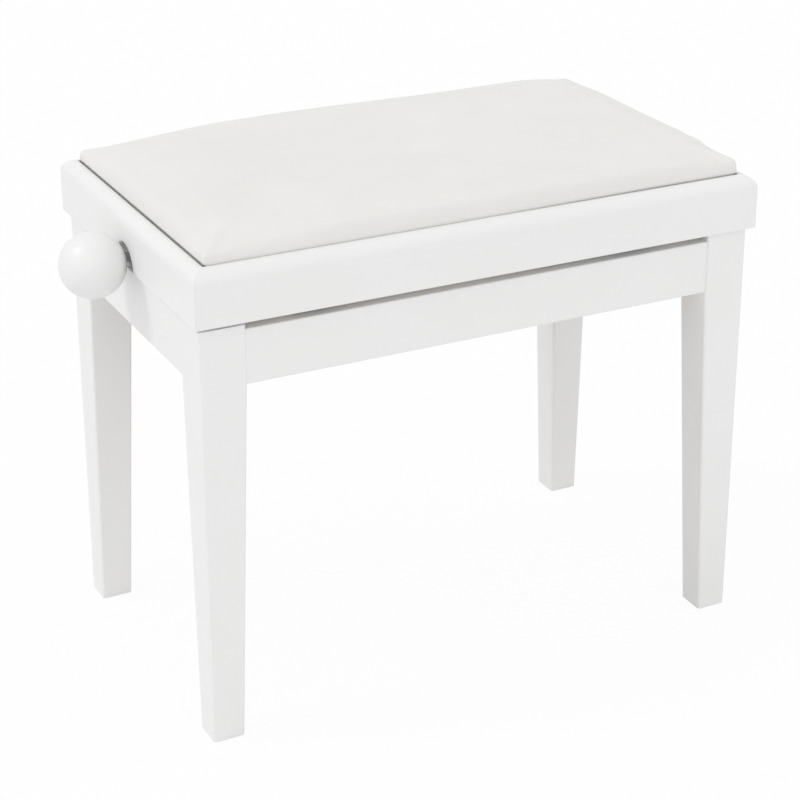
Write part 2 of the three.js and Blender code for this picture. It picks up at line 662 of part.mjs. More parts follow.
for (const [sideName, sideSign] of SIDES) {
  const lift = armGeometry(STUD_DIAMETER + 2 * PIVOT_GAP, rodHole, rodHole, sideSign * liftArmOuterY,
    sideSign * liftArmInnerY);
  addMesh(liftArms, `lift_arm_${sideName}`, lift, blackSteel);

  const link = armGeometry(rodHole, crossHole, NUT_BAR_PIN_DIAMETER + 2 * PIVOT_GAP,
    sideSign * linkArmOuterY, sideSign * linkArmInnerY);
  addMesh(linkArms, `link_arm_${sideName}`, link, blackSteel);

  const pin = headedRod(sideSign * liftArmOuterY, sideSign * linkArmInnerY, ROD_DIAMETER, ROD_HEAD_DIAMETER);
  addMesh(liftArms, `cross_pin_${sideName}`, pin.translate(armLength / 2, 0, 0), zincSteel);
}

const slideRod = headedRod(-liftArmOuterY, liftArmOuterY, ROD_DIAMETER, ROD_HEAD_DIAMETER);
addMesh(liftArms, 'slide_rod', slideRod.translate(armLength, 0, 0), zincSteel);

// The nut bar stays level: a square bar with round ends that run in the rails' slots, and a boss.
const nutBar = new THREE.Group();
nutBar.position.set(slideX, 0, spindleHeight);
bench.add(nutBar);

const squareHalf = linkArmInnerY - 2 * PIVOT_GAP;
const crossBar = block(-NUT_BAR_SIZE / 2, NUT_BAR_SIZE / 2, -squareHalf, squareHalf,
  -NUT_BAR_SIZE / 2, NUT_BAR_SIZE / 2);
const endPins = bar('y', -railPlateOuterY, railPlateOuterY, NUT_BAR_PIN_DIAMETER);
const bossHalfHeight = REST_RISE - ROD_DIAMETER / 2 - NUT_BOSS_ROOM;
const boss = block(-NUT_BOSS_LENGTH / 2, NUT_BOSS_LENGTH / 2, -NUT_BOSS_WIDTH / 2, NUT_BOSS_WIDTH / 2,
  -bossHalfHeight, bossHalfHeight);
const nutBore = bar('x', -NUT_BOSS_LENGTH, NUT_BOSS_LENGTH, NUT_DIAMETER + 2 * PIVOT_GAP);
addMesh(nutBar, 'nut_bar', cut(join(crossBar, endPins, boss), nutBore), blackSteel);

const nutInner = spindleRadius + FOLLOW_GAP;
const nutStart = -NUT_BOSS_LENGTH / 2 - SEAT_GAP;
const nutProfile = [
  [nutInner, nutStart - NUT_FLANGE_THICKNESS], [NUT_FLANGE_DIAMETER / 2, nutStart - NUT_FLANGE_THICKNESS],
  [NUT_FLANGE_DIAMETER / 2, nutStart], [NUT_DIAMETER / 2, nutStart],
  [NUT_DIAMETER / 2, NUT_BOSS_LENGTH / 2], [nutInner, NUT_BOSS_LENGTH / 2],
  [nutInner, nutStart - NUT_FLANGE_THICKNESS],
];
addMesh(nutBar, 'spindle_nut', turned(nutProfile, 'x'), brass);

// ---------------------------------------------------------------- seat: channels, bolts and pivot rod

const boltY = channelInnerY - (CHANNEL_FLANGE - CHANNEL_THICKNESS) / 2;
const boltHole = CHANNEL_BOLT_DIAMETER + 2 * BOLT_HOLE_PLAY;
const seatSlotRadius = ROD_DIAMETER / 2 + FOLLOW_GAP;

for (const [sideName, sideSign] of SIDES) {
  const shape = new THREE.Shape();
  shape.moveTo(-channelHalf, channelTop - CHANNEL_HEIGHT);
  shape.lineTo(channelHalf, channelTop - CHANNEL_HEIGHT);
  shape.lineTo(channelHalf, channelTop);
  shape.lineTo(-channelHalf, channelTop);
  shape.closePath();
  const pivotHole = new THREE.Path();
  pivotHole.absarc(pivotX, upperPivotHeight, rodHole / 2, 0, Math.PI * 2, false);
  shape.holes.push(pivotHole);
  shape.holes.push(stadium(new THREE.Path(), slideX - slotTravel - FOLLOW_GAP, slideX + FOLLOW_GAP,
    upperPivotHeight, seatSlotRadius));
  const web = plateXZ(shape, sideSign * channelOuterY, sideSign * channelInnerY);
  const flangeEnd = channelOuterY - CHANNEL_FLANGE;
  const flange = block(-channelHalf, channelHalf, sideSign * channelOuterY, sideSign * flangeEnd,
    channelTop - CHANNEL_THICKNESS, channelTop);
  const holes = ENDS.map(([, endSign]) => bar('z', 0, boardTop, boltHole, HOLE_STEPS)
    .translate(endSign * channelBoltX, sideSign * boltY, 0));
  addMesh(seatTop, `seat_channel_${sideName}`, cut(join(web, flange), ...holes), blackSteel);

  for (const [endName, endSign] of ENDS) {
    const headFace = channelTop - CHANNEL_THICKNESS - SEAT_GAP;
    const piece = screw('z', 1, CHANNEL_BOLT_DIAMETER, CHANNEL_BOLT_HEAD_DIAMETER, SCREW_HEAD_HEIGHT,
      boardBottom + CHANNEL_BOLT_BITE - headFace);
    piece.translate(endSign * channelBoltX, sideSign * boltY, headFace);
    addMesh(seatTop, `channel_bolt_${sideName}_${endName}`, piece, zincSteel);
  }
}

const pivotRod = headedRod(-linkArmOuterY, linkArmOuterY, ROD_DIAMETER, ROD_HEAD_DIAMETER);
addMesh(seatTop, 'pivot_rod', pivotRod.translate(pivotX, 0, upperPivotHeight), zincSteel);

// ---------------------------------------------------------------- seat: board, pad and mouldings

// One level of the pad, drawn in from its outer sides.
function padRing(inset, z) {
  const radius = Math.max(PAD_CORNER_RADIUS - inset, 0.5);
  return roundedRing(-padHalfX + inset, padHalfX - inset, -padHalfY + inset, padHalfY - inset, radius, z);
}

// The pad's outer form, or the same form drawn in on every side: straight sides, a rolled edge and a
// crown that rises towards the middle.
function padForm(inset, bottom) {
  const rollStart = padBottom + PAD_SIDE_HEIGHT;
  const roll = PAD_ROLL - inset;
  const rings = [padRing(inset, bottom)];
  const ROLL_STEPS = 4;
  for (let step = 0; step <= ROLL_STEPS; step += 1) {
    const angle = (Math.PI / 2) * (step / ROLL_STEPS);
    rings.push(padRing(inset + roll * (1 - Math.cos(angle)), rollStart + roll * Math.sin(angle)));
  }
  const CROWN_STEPS = 5;
  const reach = padHalfY - PAD_ROLL - 1;
  for (let step = 1; step <= CROWN_STEPS; step += 1) {
    const share = step / CROWN_STEPS;
    const rise = PAD_CROWN * (1 - (1 - share) ** 2);
    rings.push(padRing(PAD_ROLL + reach * share, rollStart + roll + rise));
  }
  return loft(rings);
}

const boardBlank = loft([padRing(fillInset, boardBottom), padRing(fillInset, boardTop)]);
const boardHoles = SIDES.flatMap(([, sideSign]) => ENDS.map(([, endSign]) => {
  const hole = bar('z', 0, boardBottom + CHANNEL_BOLT_BITE + BOLT_HOLE_PLAY, boltHole, HOLE_STEPS);
  return hole.translate(endSign * channelBoltX, sideSign * boltY, 0);
}));
addMesh(seatTop, 'seat_board', cut(boardBlank, ...boardHoles), plywood);
addMesh(seatTop, 'pad_foam', padForm(fillInset, foamBottom), foam);

const coverMouth = block(-padHalfX + COVER_HEM, padHalfX - COVER_HEM, -padHalfY + COVER_HEM,
  padHalfY - COVER_HEM, 0, boardBottom);
const padCover = cut(padForm(0, padBottom), padForm(COVER_THICKNESS, hemTop), coverMouth);
addMesh(seatTop, 'pad_cover', padCover, leatherette);

// The moulding's section, as [distance in from the outer face, height].
function mouldingSection() {
  const points = [];
  const EASE_STEPS = 2;
  for (let step = 0; step <= EASE_STEPS; step += 1) {
    const angle = (Math.PI / 2) * (step / EASE_STEPS);
    points.push([MOULDING_EASE * (1 - Math.sin(angle)), MOULDING_EASE * (1 - Math.cos(angle))]);
  }
  const TOP_ROUND_STEPS = 6;
  for (let step = 0; step <= TOP_ROUND_STEPS; step += 1) {
    const angle = (Math.PI / 2) * (step / TOP_ROUND_STEPS);
    points.push([
      MOULDING_ROUND * (1 - Math.cos(angle)),
      MOULDING_HEIGHT - MOULDING_ROUND * (1 - Math.sin(angle)),
    ]);
  }
  points.push([LIP_WIDTH, MOULDING_HEIGHT], [LIP_WIDTH, ledgeHeight], [MOULDING_WIDTH, ledgeHeight]);
  points.push([MOULDING_WIDTH, 0]);
  return points.reverse();
}

// A mitred length of moulding along X, its outer face towards -Y. Each end runs in at 45 degrees.
function mouldingGeometry(halfLength, halfAcross) {
  const mitreGap = (SEAT_GAP / 2) * Math.SQRT2;
  const section = mouldingSection();
  const end = (sign) => section.map(([inset, height]) => (
    [sign * (halfLength - inset - mitreGap), -halfAcross + inset, height]));
  return loftAlongX([end(-1), end(1)]);
}

for (const [sideName, sideSign] of SIDES) {
  const geometry = mouldingGeometry(frameHalfX, frameHalfY);
  if (sideSign > 0) geometry.rotateZ(Math.PI);
  addMesh(seatTop, `moulding_${sideName}`, geometry, lacquer);
}

for (const [endName, endSign] of ENDS) {
  const geometry = mouldingGeometry(frameHalfY, frameHalfX);
  geometry.rotateZ(endSign * Math.PI / 2);
  const x0 = endSign * (frameHalfX - MOULDING_WIDTH - 1);
  const x1 = endSign * (frameHalfX + 1);
  const archHeight = spindleHeight - NOTCH_DROP - FRAME_BOTTOM;
  const arch = bar('x', x0, x1, 2 * NOTCH_RADIUS, ARCH_STEPS).translate(0, 0, archHeight);
  const mouth = block(x0, x1, -NOTCH_RADIUS, NOTCH_RADIUS, -MOULDING_EASE, archHeight);
  addMesh(seatTop, `moulding_${endName}`, cut(geometry, arch, mouth), lacquer);
}

export default bench;
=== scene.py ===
# %% [markdown]
# # A height-adjustable piano bench
# The bench is a white lacquered frame of four legs and four boards. A moulded top frame with a
# drop-in pad lies on it, and a scissor of steel arms, driven by a threaded spindle with a ball knob
# on each end, lifts that top. The solid model is already made and fixed, so the first step loads it
# and every piece goes where the model says. What a solid model leaves out is shaped here: rounded
# edges, the swell and the drawn-down corners of the pad, a thread, recesses, staples and finishes.

# %% Load the fixed model
import json
import math
import bmesh
import bpy
from mathutils import Matrix, Vector

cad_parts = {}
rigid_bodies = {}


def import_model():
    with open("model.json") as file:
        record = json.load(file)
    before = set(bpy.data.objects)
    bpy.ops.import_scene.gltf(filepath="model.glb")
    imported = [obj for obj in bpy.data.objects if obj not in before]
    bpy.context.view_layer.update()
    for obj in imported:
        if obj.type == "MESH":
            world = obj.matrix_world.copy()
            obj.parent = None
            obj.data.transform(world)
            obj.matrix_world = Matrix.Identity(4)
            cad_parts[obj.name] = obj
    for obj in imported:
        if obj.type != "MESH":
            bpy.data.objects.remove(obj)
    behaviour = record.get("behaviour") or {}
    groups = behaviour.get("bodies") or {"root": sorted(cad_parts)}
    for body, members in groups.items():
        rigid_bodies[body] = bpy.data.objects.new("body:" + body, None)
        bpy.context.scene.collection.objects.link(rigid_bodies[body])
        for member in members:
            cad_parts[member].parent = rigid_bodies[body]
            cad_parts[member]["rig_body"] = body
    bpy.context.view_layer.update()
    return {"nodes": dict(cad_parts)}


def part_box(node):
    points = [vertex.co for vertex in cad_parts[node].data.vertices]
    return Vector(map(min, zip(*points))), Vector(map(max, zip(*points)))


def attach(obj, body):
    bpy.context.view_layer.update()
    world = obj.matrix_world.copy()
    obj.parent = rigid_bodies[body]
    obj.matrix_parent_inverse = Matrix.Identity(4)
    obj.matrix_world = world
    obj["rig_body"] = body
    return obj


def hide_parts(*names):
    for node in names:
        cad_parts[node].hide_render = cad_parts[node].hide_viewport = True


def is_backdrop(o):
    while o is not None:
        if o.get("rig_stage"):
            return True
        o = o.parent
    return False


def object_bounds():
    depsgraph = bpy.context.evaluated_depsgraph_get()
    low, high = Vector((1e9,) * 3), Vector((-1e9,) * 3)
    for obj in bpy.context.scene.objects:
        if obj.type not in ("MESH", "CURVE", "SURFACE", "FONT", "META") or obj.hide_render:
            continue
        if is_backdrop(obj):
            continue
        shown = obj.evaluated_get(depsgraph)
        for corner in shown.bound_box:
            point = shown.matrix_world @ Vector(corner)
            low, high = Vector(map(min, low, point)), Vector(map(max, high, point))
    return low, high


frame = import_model()
MM = 0.001

# %% [markdown]
# ## The camera
# A bench of this size looks calm through a long lens from a few metres away, a little above the
# seat, so that the pad, the front and the left side all show. The camera's own three directions are
# worked out from its heading, its downward tilt and a very small roll, and become its matrix.

# %% Place the camera
heading, tilt, roll = math.radians(28.82), math.radians(22.51), math.radians(0.77)
forward = Vector((math.sin(heading) * math.cos(tilt), math.cos(heading) * math.cos(tilt), -math.sin(tilt)))
level = Vector((math.cos(heading), -math.sin(heading), 0))
upward = level.cross(forward)
side = math.cos(roll) * level + math.sin(roll) * upward
over = -math.sin(roll) * level + math.cos(roll) * upward
placed = Matrix((side, over, -forward)).transposed().to_4x4()
placed.translation = Vector((-0.8686, -1.7208, 1.0939))  # metres from the middle of the floor

lens = bpy.data.cameras.new("camera")
lens.lens, lens.sensor_width = 99.7, 36
lens.shift_x, lens.shift_y = -0.10, -0.10
camera = bpy.data.objects.new("camera", lens)
camera.matrix_world = placed
bpy.context.scene.collection.objects.link(camera)
bpy.context.scene.camera = camera
print("camera stands", round(placed.translation.length, 2), "m from the middle of the floor")

# %% [markdown]
# ## Light, backdrop and floor
# White furniture is lit softly from all round. A lamp high on the left lets the knob and the round
# edges turn from light to shade, and a weaker and much broader one lights the front. Both are suns,
# because a sun gives every part of the bench the same light. The backdrop is a white that only the
# camera and mirrors see, and the floor mixes that same white with a plain surface, which keeps the
# bench's soft shadow.

# %% Set the view and the world
scene = bpy.context.scene
scene.view_settings.view_transform = "Standard"

world = bpy.data.worlds.new("studio")
world.use_nodes = True
scene.world = world
room = world.node_tree
room.nodes.clear()


def put(tree, kind, **settings):
    """Adds a node and sets it: plain names are its settings, names with a capital are its sockets."""
    node = tree.nodes.new(kind)
    for name, value in settings.items():
        if name[0].isupper():
            node.inputs[name.replace("_", " ")].default_value = value
        else:
            setattr(node, name, value)
    return node


def seen_directly(tree):
    """1 for a ray from the camera, or one that a mirror or glass sends on, and 0 for light on a surface."""
    path = put(tree, "ShaderNodeLightPath")
    first = put(tree, "ShaderNodeMath", operation="MAXIMUM")
    second = put(tree, "ShaderNodeMath", operation="MAXIMUM")
    tree.links.new(path.outputs["Is Camera Ray"], first.inputs[0])
    tree.links.new(path.outputs["Is Glossy Ray"], first.inputs[1])
    tree.links.new(first.outputs[0], second.inputs[0])
    tree.links.new(path.outputs["Is Transmission Ray"], second.inputs[1])
    return second.outputs[0]


soft = put(room, "ShaderNodeBackground", Color=(1, 1, 1, 1), Strength=0.835)
white = put(room, "ShaderNodeBackground", Color=(1, 1, 1, 1), Strength=1.0)
choice = put(room, "ShaderNodeMixShader")
room.links.new(seen_directly(room), choice.inputs[0])
room.links.new(soft.outputs[0], choice.inputs[1])
room.links.new(white.outputs[0], choice.inputs[2])
room.links.new(choice.outputs[0], put(room, "ShaderNodeOutputWorld").inputs["Surface"])

# %% Hang the lamps


def sun(name, toward, strength, width):
    """A broad lamp, far away, that shines along one direction. Width is how wide it looks, in degrees."""
    data = bpy.data.lights.new(name, "SUN")
    data.energy, data.angle = strength, math.radians(width)
    lamp = bpy.data.objects.new(name, data)
    lamp.rotation_mode = "QUATERNION"
    lamp.rotation_quaternion = Vector(toward).to_track_quat("-Z", "Y")
    scene.collection.objects.link(lamp)


sun("lamp_left", (0.637, -0.20, -0.745), 0.63, 14)
sun("lamp_front", (0.0, 0.97, -0.25), 0.48, 80)

# %% Lay the floor
FLOOR_RADIUS, PLAIN_WHITE = 6.0, 0.94  # metres, and the share of plain white in what the camera sees
floor_mesh = bpy.data.meshes.new("floor")
sheet = bmesh.new()
bmesh.ops.create_circle(sheet, cap_ends=True, segments=96, radius=FLOOR_RADIUS)
sheet.to_mesh(floor_mesh)
sheet.free()
floor = bpy.data.objects.new("floor", floor_mesh)
scene.collection.objects.link(floor)
floor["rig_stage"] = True

floor_finish = bpy.data.materials.new("studio floor")
floor_finish.use_nodes = True
ground = floor_finish.node_tree
ground.nodes.clear()
paper = put(ground, "ShaderNodeBsdfDiffuse", Color=(0.88, 0.88, 0.88, 1))
glow = put(ground, "ShaderNodeEmission", Color=(1, 1, 1, 1), Strength=1.0)
share = put(ground, "ShaderNodeMath", operation="MULTIPLY")
share.inputs[1].default_value = PLAIN_WHITE
ground.links.new(seen_directly(ground), share.inputs[0])
blend = put(ground, "ShaderNodeMixShader")
ground.links.new(share.outputs[0], blend.inputs[0])
ground.links.new(paper.outputs[0], blend.inputs[1])
ground.links.new(glow.outputs[0], blend.inputs[2])
ground.links.new(blend.outputs[0], put(ground, "ShaderNodeOutputMaterial").inputs["Surface"])
floor_mesh.materials.append(floor_finish)

# %% [markdown]
# ## Shared effects for the finishes
# Several finishes need the same things: a surface that is never quite even, and a skin of very small
# hills. Each is a node group with named inputs and outputs, built once and placed in a material with
# that material's own values. A group only gives out colours, heights and masks. The shader itself
# stays in the material.

# %% A helper for node groups
MIX_A, MIX_B, MIX_RESULT = 6, 7, 2  # where a Mix node keeps its two colours and its result


def new_group(name, inputs, outputs):
    """An empty shader group. Inputs are (name, kind, value) and outputs are (name, kind)."""
    tree = bpy.data.node_groups.new(name, "ShaderNodeTree")
    for title, kind, value in inputs:
        socket = tree.interface.new_socket(title, in_out="INPUT", socket_type="NodeSocket" + kind)
        socket.default_value = value
    for title, kind in outputs:
        tree.interface.new_socket(title, in_out="OUTPUT", socket_type="NodeSocket" + kind)
    return tree, put(tree, "NodeGroupInput"), put(tree, "NodeGroupOutput")


def paint(red, green, blue):
    """A colour as a paint card gives it, 0 to 255, as the light values that a shader wants."""
    def straight(value):
        value /= 255
        return value / 12.92 if value <= 0.04045 else ((value + 0.055) / 1.055) ** 2.4
    return (straight(red), straight(green), straight(blue), 1)


# %% The mottle: slow clouds between two tones
mottle, given, out = new_group(
    "mottle",
    [("Place", "Vector", (0, 0, 0)), ("Size", "Float", 12.0), ("Pale", "Color", (1, 1, 1, 1)),
     ("Deep", "Color", (0.9, 0.9, 0.9, 1)), ("Smooth", "Float", 0.3), ("Rough", "Float", 0.4)],
    [("Tone", "Color"), ("Roughness", "Float")])
clouds = put(mottle, "ShaderNodeTexNoise", Detail=3.0, Roughness=0.55)
tones = put(mottle, "ShaderNodeMix", data_type="RGBA")
span = put(mottle, "ShaderNodeMapRange")
mottle.links.new(given.outputs["Place"], clouds.inputs["Vector"])
mottle.links.new(given.outputs["Size"], clouds.inputs["Scale"])
mottle.links.new(clouds.outputs[0], tones.inputs[0])
mottle.links.new(given.outputs["Pale"], tones.inputs[MIX_A])
mottle.links.new(given.outputs["Deep"], tones.inputs[MIX_B])
mottle.links.new(clouds.outputs[0], span.inputs["Value"])
mottle.links.new(given.outputs["Smooth"], span.inputs["To Min"])
mottle.links.new(given.outputs["Rough"], span.inputs["To Max"])
mottle.links.new(tones.outputs[MIX_RESULT], out.inputs["Tone"])
mottle.links.new(span.outputs[0], out.inputs["Roughness"])

# %% The skin: the small hills of a sprayed coat
skin, given, out = new_group(
    "skin", [("Place", "Vector", (0, 0, 0)), ("Size", "Float", 600.0)], [("Height", "Float")])
hills = put(skin, "ShaderNodeTexNoise", Detail=2.0, Roughness=0.5)
skin.links.new(given.outputs["Place"], hills.inputs["Vector"])
skin.links.new(given.outputs["Size"], hills.inputs["Scale"])
skin.links.new(hills.outputs[0], out.inputs["Height"])

# %% The wood: long fibres with pores along one direction
wood, given, out = new_group(
    "wood",
    [("Place", "Vector", (0, 0, 0)), ("Pale", "Color", (0.6, 0.4, 0.2, 1)),
     ("Deep", "Color", (0.4, 0.25, 0.1, 1))],
    [("Tone", "Color"), ("Height", "Float")])
bands = put(wood, "ShaderNodeTexNoise", Scale=30.0, Detail=4.0, Roughness=0.6, Distortion=0.4)
pores = put(wood, "ShaderNodeTexNoise", Scale=420.0, Detail=2.0)
sharp = put(wood, "ShaderNodeMapRange")
sharp.inputs["From Min"].default_value, sharp.inputs["From Max"].default_value = 0.55, 0.75
stain = put(wood, "ShaderNodeMix", data_type="RGBA")
fleck = put(wood, "ShaderNodeMix", data_type="RGBA", blend_type="MULTIPLY")
fleck.inputs[MIX_B].default_value = (0.62, 0.5, 0.4, 1)
wood.links.new(given.outputs["Place"], bands.inputs["Vector"])
wood.links.new(given.outputs["Place"], pores.inputs["Vector"])
wood.links.new(bands.outputs[0], stain.inputs[0])
wood.links.new(given.outputs["Pale"], stain.inputs[MIX_A])
wood.links.new(given.outputs["Deep"], stain.inputs[MIX_B])
wood.links.new(pores.outputs[0], sharp.inputs["Value"])
wood.links.new(sharp.outputs[0], fleck.inputs[0])
wood.links.new(stain.outputs[MIX_RESULT], fleck.inputs[MIX_A])
wood.links.new(fleck.outputs[MIX_RESULT], out.inputs["Tone"])
wood.links.new(sharp.outputs[0], out.inputs["Height"])

# %% [markdown]
# ## The finishes
# White satin lacquer, smooth white leatherette, powder-coated steel, zinc-plated steel, brass, beech
# and plywood. Each reads the piece's own coordinates, so a pattern stays on the piece when it moves.
# The lacquer is nearly even on a new bench, so its clouds are faint and its skin is low.

# %% A helper for finishes


def finish_of(name, stretch=(1, 1, 1), metal=0.0, gloss=0.5):
    """A new material with its shader, and the place on the piece, stretched along one direction or not."""
    material = bpy.data.materials.new(name)
    material.use_nodes = True
    tree = material.node_tree
    tree.nodes.clear()
    shader = put(tree, "ShaderNodeBsdfPrincipled", Metallic=metal, Roughness=gloss)
    tree.links.new(shader.outputs[0], put(tree, "ShaderNodeOutputMaterial").inputs["Surface"])
    where = put(tree, "ShaderNodeTexCoord")
    turn = put(tree, "ShaderNodeMapping", Scale=stretch)
    tree.links.new(where.outputs["Object"], turn.inputs["Vector"])
    return material, tree, shader, turn.outputs[0]


def use_group(tree, group, place, **values):
    """Places a shared effect in a material, with this material's own values."""
    node = put(tree, "ShaderNodeGroup", node_tree=group)
    tree.links.new(place, node.inputs["Place"])
    for name, value in values.items():
        node.inputs[name].default_value = value
    return node


def raise_skin(tree, shader, height, depth, strength):
    """Lets a height stand out of the surface by so many metres."""
    bump = put(tree, "ShaderNodeBump", Strength=strength, Distance=depth)
    tree.links.new(height, bump.inputs["Height"])
    tree.links.new(bump.outputs[0], shader.inputs["Normal"])


def even_tones(tree, shader, place, **values):
    """Colours a surface with the mottle, and lets its roughness follow the same clouds."""
    even = use_group(tree, mottle, place, **values)
    tree.links.new(even.outputs["Tone"], shader.inputs["Base Color"])
    tree.links.new(even.outputs["Roughness"], shader.inputs["Roughness"])


# %% White satin lacquer
lacquer, tree, shader, place = finish_of("white satin lacquer")
even_tones(tree, shader, place, Size=9.0, Pale=paint(237, 237, 237), Deep=paint(233, 233, 232),
           Smooth=0.33, Rough=0.41)
peel = use_group(tree, skin, place, Size=420.0)
raise_skin(tree, shader, peel.outputs["Height"], depth=0.00012, strength=0.10)

# %% Smooth white leatherette, with a very fine pebble
leatherette, tree, shader, place = finish_of("white leatherette")
even_tones(tree, shader, place, Size=14.0, Pale=paint(232, 231, 229), Deep=paint(226, 225, 222),
           Smooth=0.44, Rough=0.54)
pebble = put(tree, "ShaderNodeTexVoronoi", feature="SMOOTH_F1", Scale=1100.0, Smoothness=0.7)
tree.links.new(place, pebble.inputs["Vector"])
raise_skin(tree, shader, pebble.outputs["Distance"], depth=0.00016, strength=0.30)

# %% Powder-coated steel
black_steel, tree, shader, place = finish_of("black powder coat")
even_tones(tree, shader, place, Size=40.0, Pale=paint(47, 47, 49), Deep=paint(37, 37, 39),
           Smooth=0.42, Rough=0.55)
peel = use_group(tree, skin, place, Size=900.0)
raise_skin(tree, shader, peel.outputs["Height"], depth=0.00015, strength=0.35)

# %% Zinc-plated steel, with fine turning marks
zinc_steel, tree, shader, place = finish_of("zinc plated steel", metal=1.0)
even_tones(tree, shader, place, Size=130.0, Pale=paint(208, 209, 211), Deep=paint(176, 178, 184),
           Smooth=0.24, Rough=0.40)
peel = use_group(tree, skin, place, Size=1800.0)
raise_skin(tree, shader, peel.outputs["Height"], depth=0.00005, strength=0.3)

# %% Brass of the bushes and the nut
brass, tree, shader, place = finish_of("turned brass", metal=1.0)
even_tones(tree, shader, place, Size=160.0, Pale=paint(206, 172, 104), Deep=paint(168, 132, 72),
           Smooth=0.25, Rough=0.42)

# %% Beech of the corner blocks
beech, tree, shader, place = finish_of("plain beech", stretch=(0.35, 0.35, 1.0), gloss=0.62)
grain = use_group(tree, wood, place, Pale=paint(206, 166, 120), Deep=paint(176, 132, 88))
tree.links.new(grain.outputs["Tone"], shader.inputs["Base Color"])
raise_skin(tree, shader, grain.outputs["Height"], depth=-0.0002, strength=0.4)

# %% Plywood of the seat board: veneer on its faces, seven layers along its edges
plywood, tree, shader, place = finish_of("birch plywood", stretch=(0.12, 1.0, 1.0), gloss=0.6)
grain = use_group(tree, wood, place, Pale=paint(222, 194, 152), Deep=paint(196, 160, 112))
layers = put(tree, "ShaderNodeTexWave", bands_direction="Z", Scale=225.0, Distortion=0.15)
edge_tone = put(tree, "ShaderNodeMix", data_type="RGBA")
edge_tone.inputs[MIX_A].default_value = paint(214, 182, 136)
edge_tone.inputs[MIX_B].default_value = paint(150, 110, 70)
normal = put(tree, "ShaderNodeNewGeometry")
upright = put(tree, "ShaderNodeSeparateXYZ")
flat = put(tree, "ShaderNodeMath", operation="ABSOLUTE")
pick = put(tree, "ShaderNodeMix", data_type="RGBA")
tree.links.new(put(tree, "ShaderNodeTexCoord").outputs["Object"], layers.inputs["Vector"])
tree.links.new(layers.outputs["Fac"], edge_tone.inputs[0])
tree.links.new(normal.outputs["Normal"], upright.inputs[0])
tree.links.new(upright.outputs["Z"], flat.inputs[0])
tree.links.new(flat.outputs[0], pick.inputs[0])
tree.links.new(edge_tone.outputs[MIX_RESULT], pick.inputs[MIX_A])
tree.links.new(grain.outputs["Tone"], pick.inputs[MIX_B])
tree.links.new(pick.outputs[MIX_RESULT], shader.inputs["Base Color"])

FINISH = {"lacquer": lacquer, "leatherette": leatherette, "black_steel": black_steel,
          "zinc_steel": zinc_steel, "brass": brass, "beech": beech, "plywood": plywood}
print("finishes:", [finish.name for finish in FINISH.values()])

# %% [markdown]
# ## How a new piece is finished
# Every new piece is shaped as a bmesh, an editable mesh without an object. One helper makes it an object
# with a finish, smooth shading that keeps the sharp corners and a body that it moves with, and hides the
# solid that it stands for. Weighted normals keep the large flat faces flat right up to a bevel.

# %% Make a piece
SHARP = math.radians(38)  # an edge that turns by more than this stays a sharp corner


def make_piece(name, shape, slot, stands_for, body=None):
    """A finished piece of the bench from a bmesh. It rides on the body of the solid it stands for."""
    mesh = bpy.data.meshes.new(name)
    bmesh.ops.recalc_face_normals(shape, faces=shape.faces)
    for face in shape.faces:
        face.smooth = True
    shape.to_mesh(mesh)
    shape.free()
    mesh.set_sharp_from_angle(angle=SHARP)
    mesh.materials.append(FINISH[slot])
    piece = bpy.data.objects.new(name, mesh)
    scene.collection.objects.link(piece)
    weights = piece.modifiers.new("flat faces stay flat", "WEIGHTED_NORMAL")
    weights.keep_sharp = True
    nodes = [stands_for] if isinstance(stands_for, str) else list(stands_for)
    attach(piece, body or frame["nodes"][nodes[0]]["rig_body"])
    if nodes:
        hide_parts(*nodes)
    return piece


def box_between(low, high):
    """A box from its lowest to its highest corner."""
    shape = bmesh.new()
    bmesh.ops.create_cube(shape, size=1)
    bmesh.ops.scale(shape, vec=high - low, verts=shape.verts)
    bmesh.ops.translate(shape, vec=(low + high) / 2, verts=shape.verts)
    return shape


def round_edges(shape, chosen, width, segments=4):
    """Rounds the chosen edges over."""
    bmesh.ops.bevel(shape, geom=chosen, offset=width, offset_type="OFFSET", segments=segments,
                    profile=0.5, affect="EDGES", material=-1, clamp_overlap=True)


def near(a, b):
    """Whether two measures are the same to a fiftieth of a millimetre."""
    return abs(a - b) < 0.02 * MM


def everything(shape):
    """All the corners, edges and faces of a shape, as a cutting plane wants them."""
    return shape.verts[:] + shape.edges[:] + shape.faces[:]


# %% [markdown]
# ## The top frame
# Four mouldings are mitred at the corners, glued and lacquered as one frame. Each has a large round
# on its upper outer edge and a rebate on its inner side, which is the ledge that the pad lies on.
# The frame could be four profiles swept along their lengths, but then the softened corners would
# have to meet exactly. Here one closed ring is shaped first, its corners included, and then sawn
# along the mitres, so both sides of each joint match.

# %% Shape the ring
front_low, front_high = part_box("moulding_front")
low, high = front_low.copy(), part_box("moulding_rear")[1]
LIP, REBATE, WIDTH = 13 * MM, 15 * MM, 22 * MM
ROUND, UNDER_ROUND, CORNER_ROUND = 12 * MM, 1 * MM, 2.5 * MM

ring = box_between(low, high)
top = max(ring.faces, key=lambda face: face.calc_center_median().z)
under = min(ring.faces, key=lambda face: face.calc_center_median().z)
bmesh.ops.inset_region(ring, faces=[top], thickness=LIP, use_even_offset=True)
ledge = bmesh.ops.extrude_discrete_faces(ring, faces=[top])["faces"][0]
bmesh.ops.translate(ring, vec=(0, 0, -REBATE), verts=ledge.verts)
bmesh.ops.inset_region(ring, faces=[ledge], thickness=WIDTH - LIP, use_even_offset=True)
bmesh.ops.inset_region(ring, faces=[under], thickness=WIDTH, use_even_offset=True)
rims = list(ledge.edges) + list(under.edges)
bmesh.ops.delete(ring, geom=[ledge, under], context="FACES_ONLY")
bmesh.ops.bridge_loops(ring, edges=rims)
print("ring faces:", len(ring.faces))

# %% Round its edges, the long ones first and then the four corners


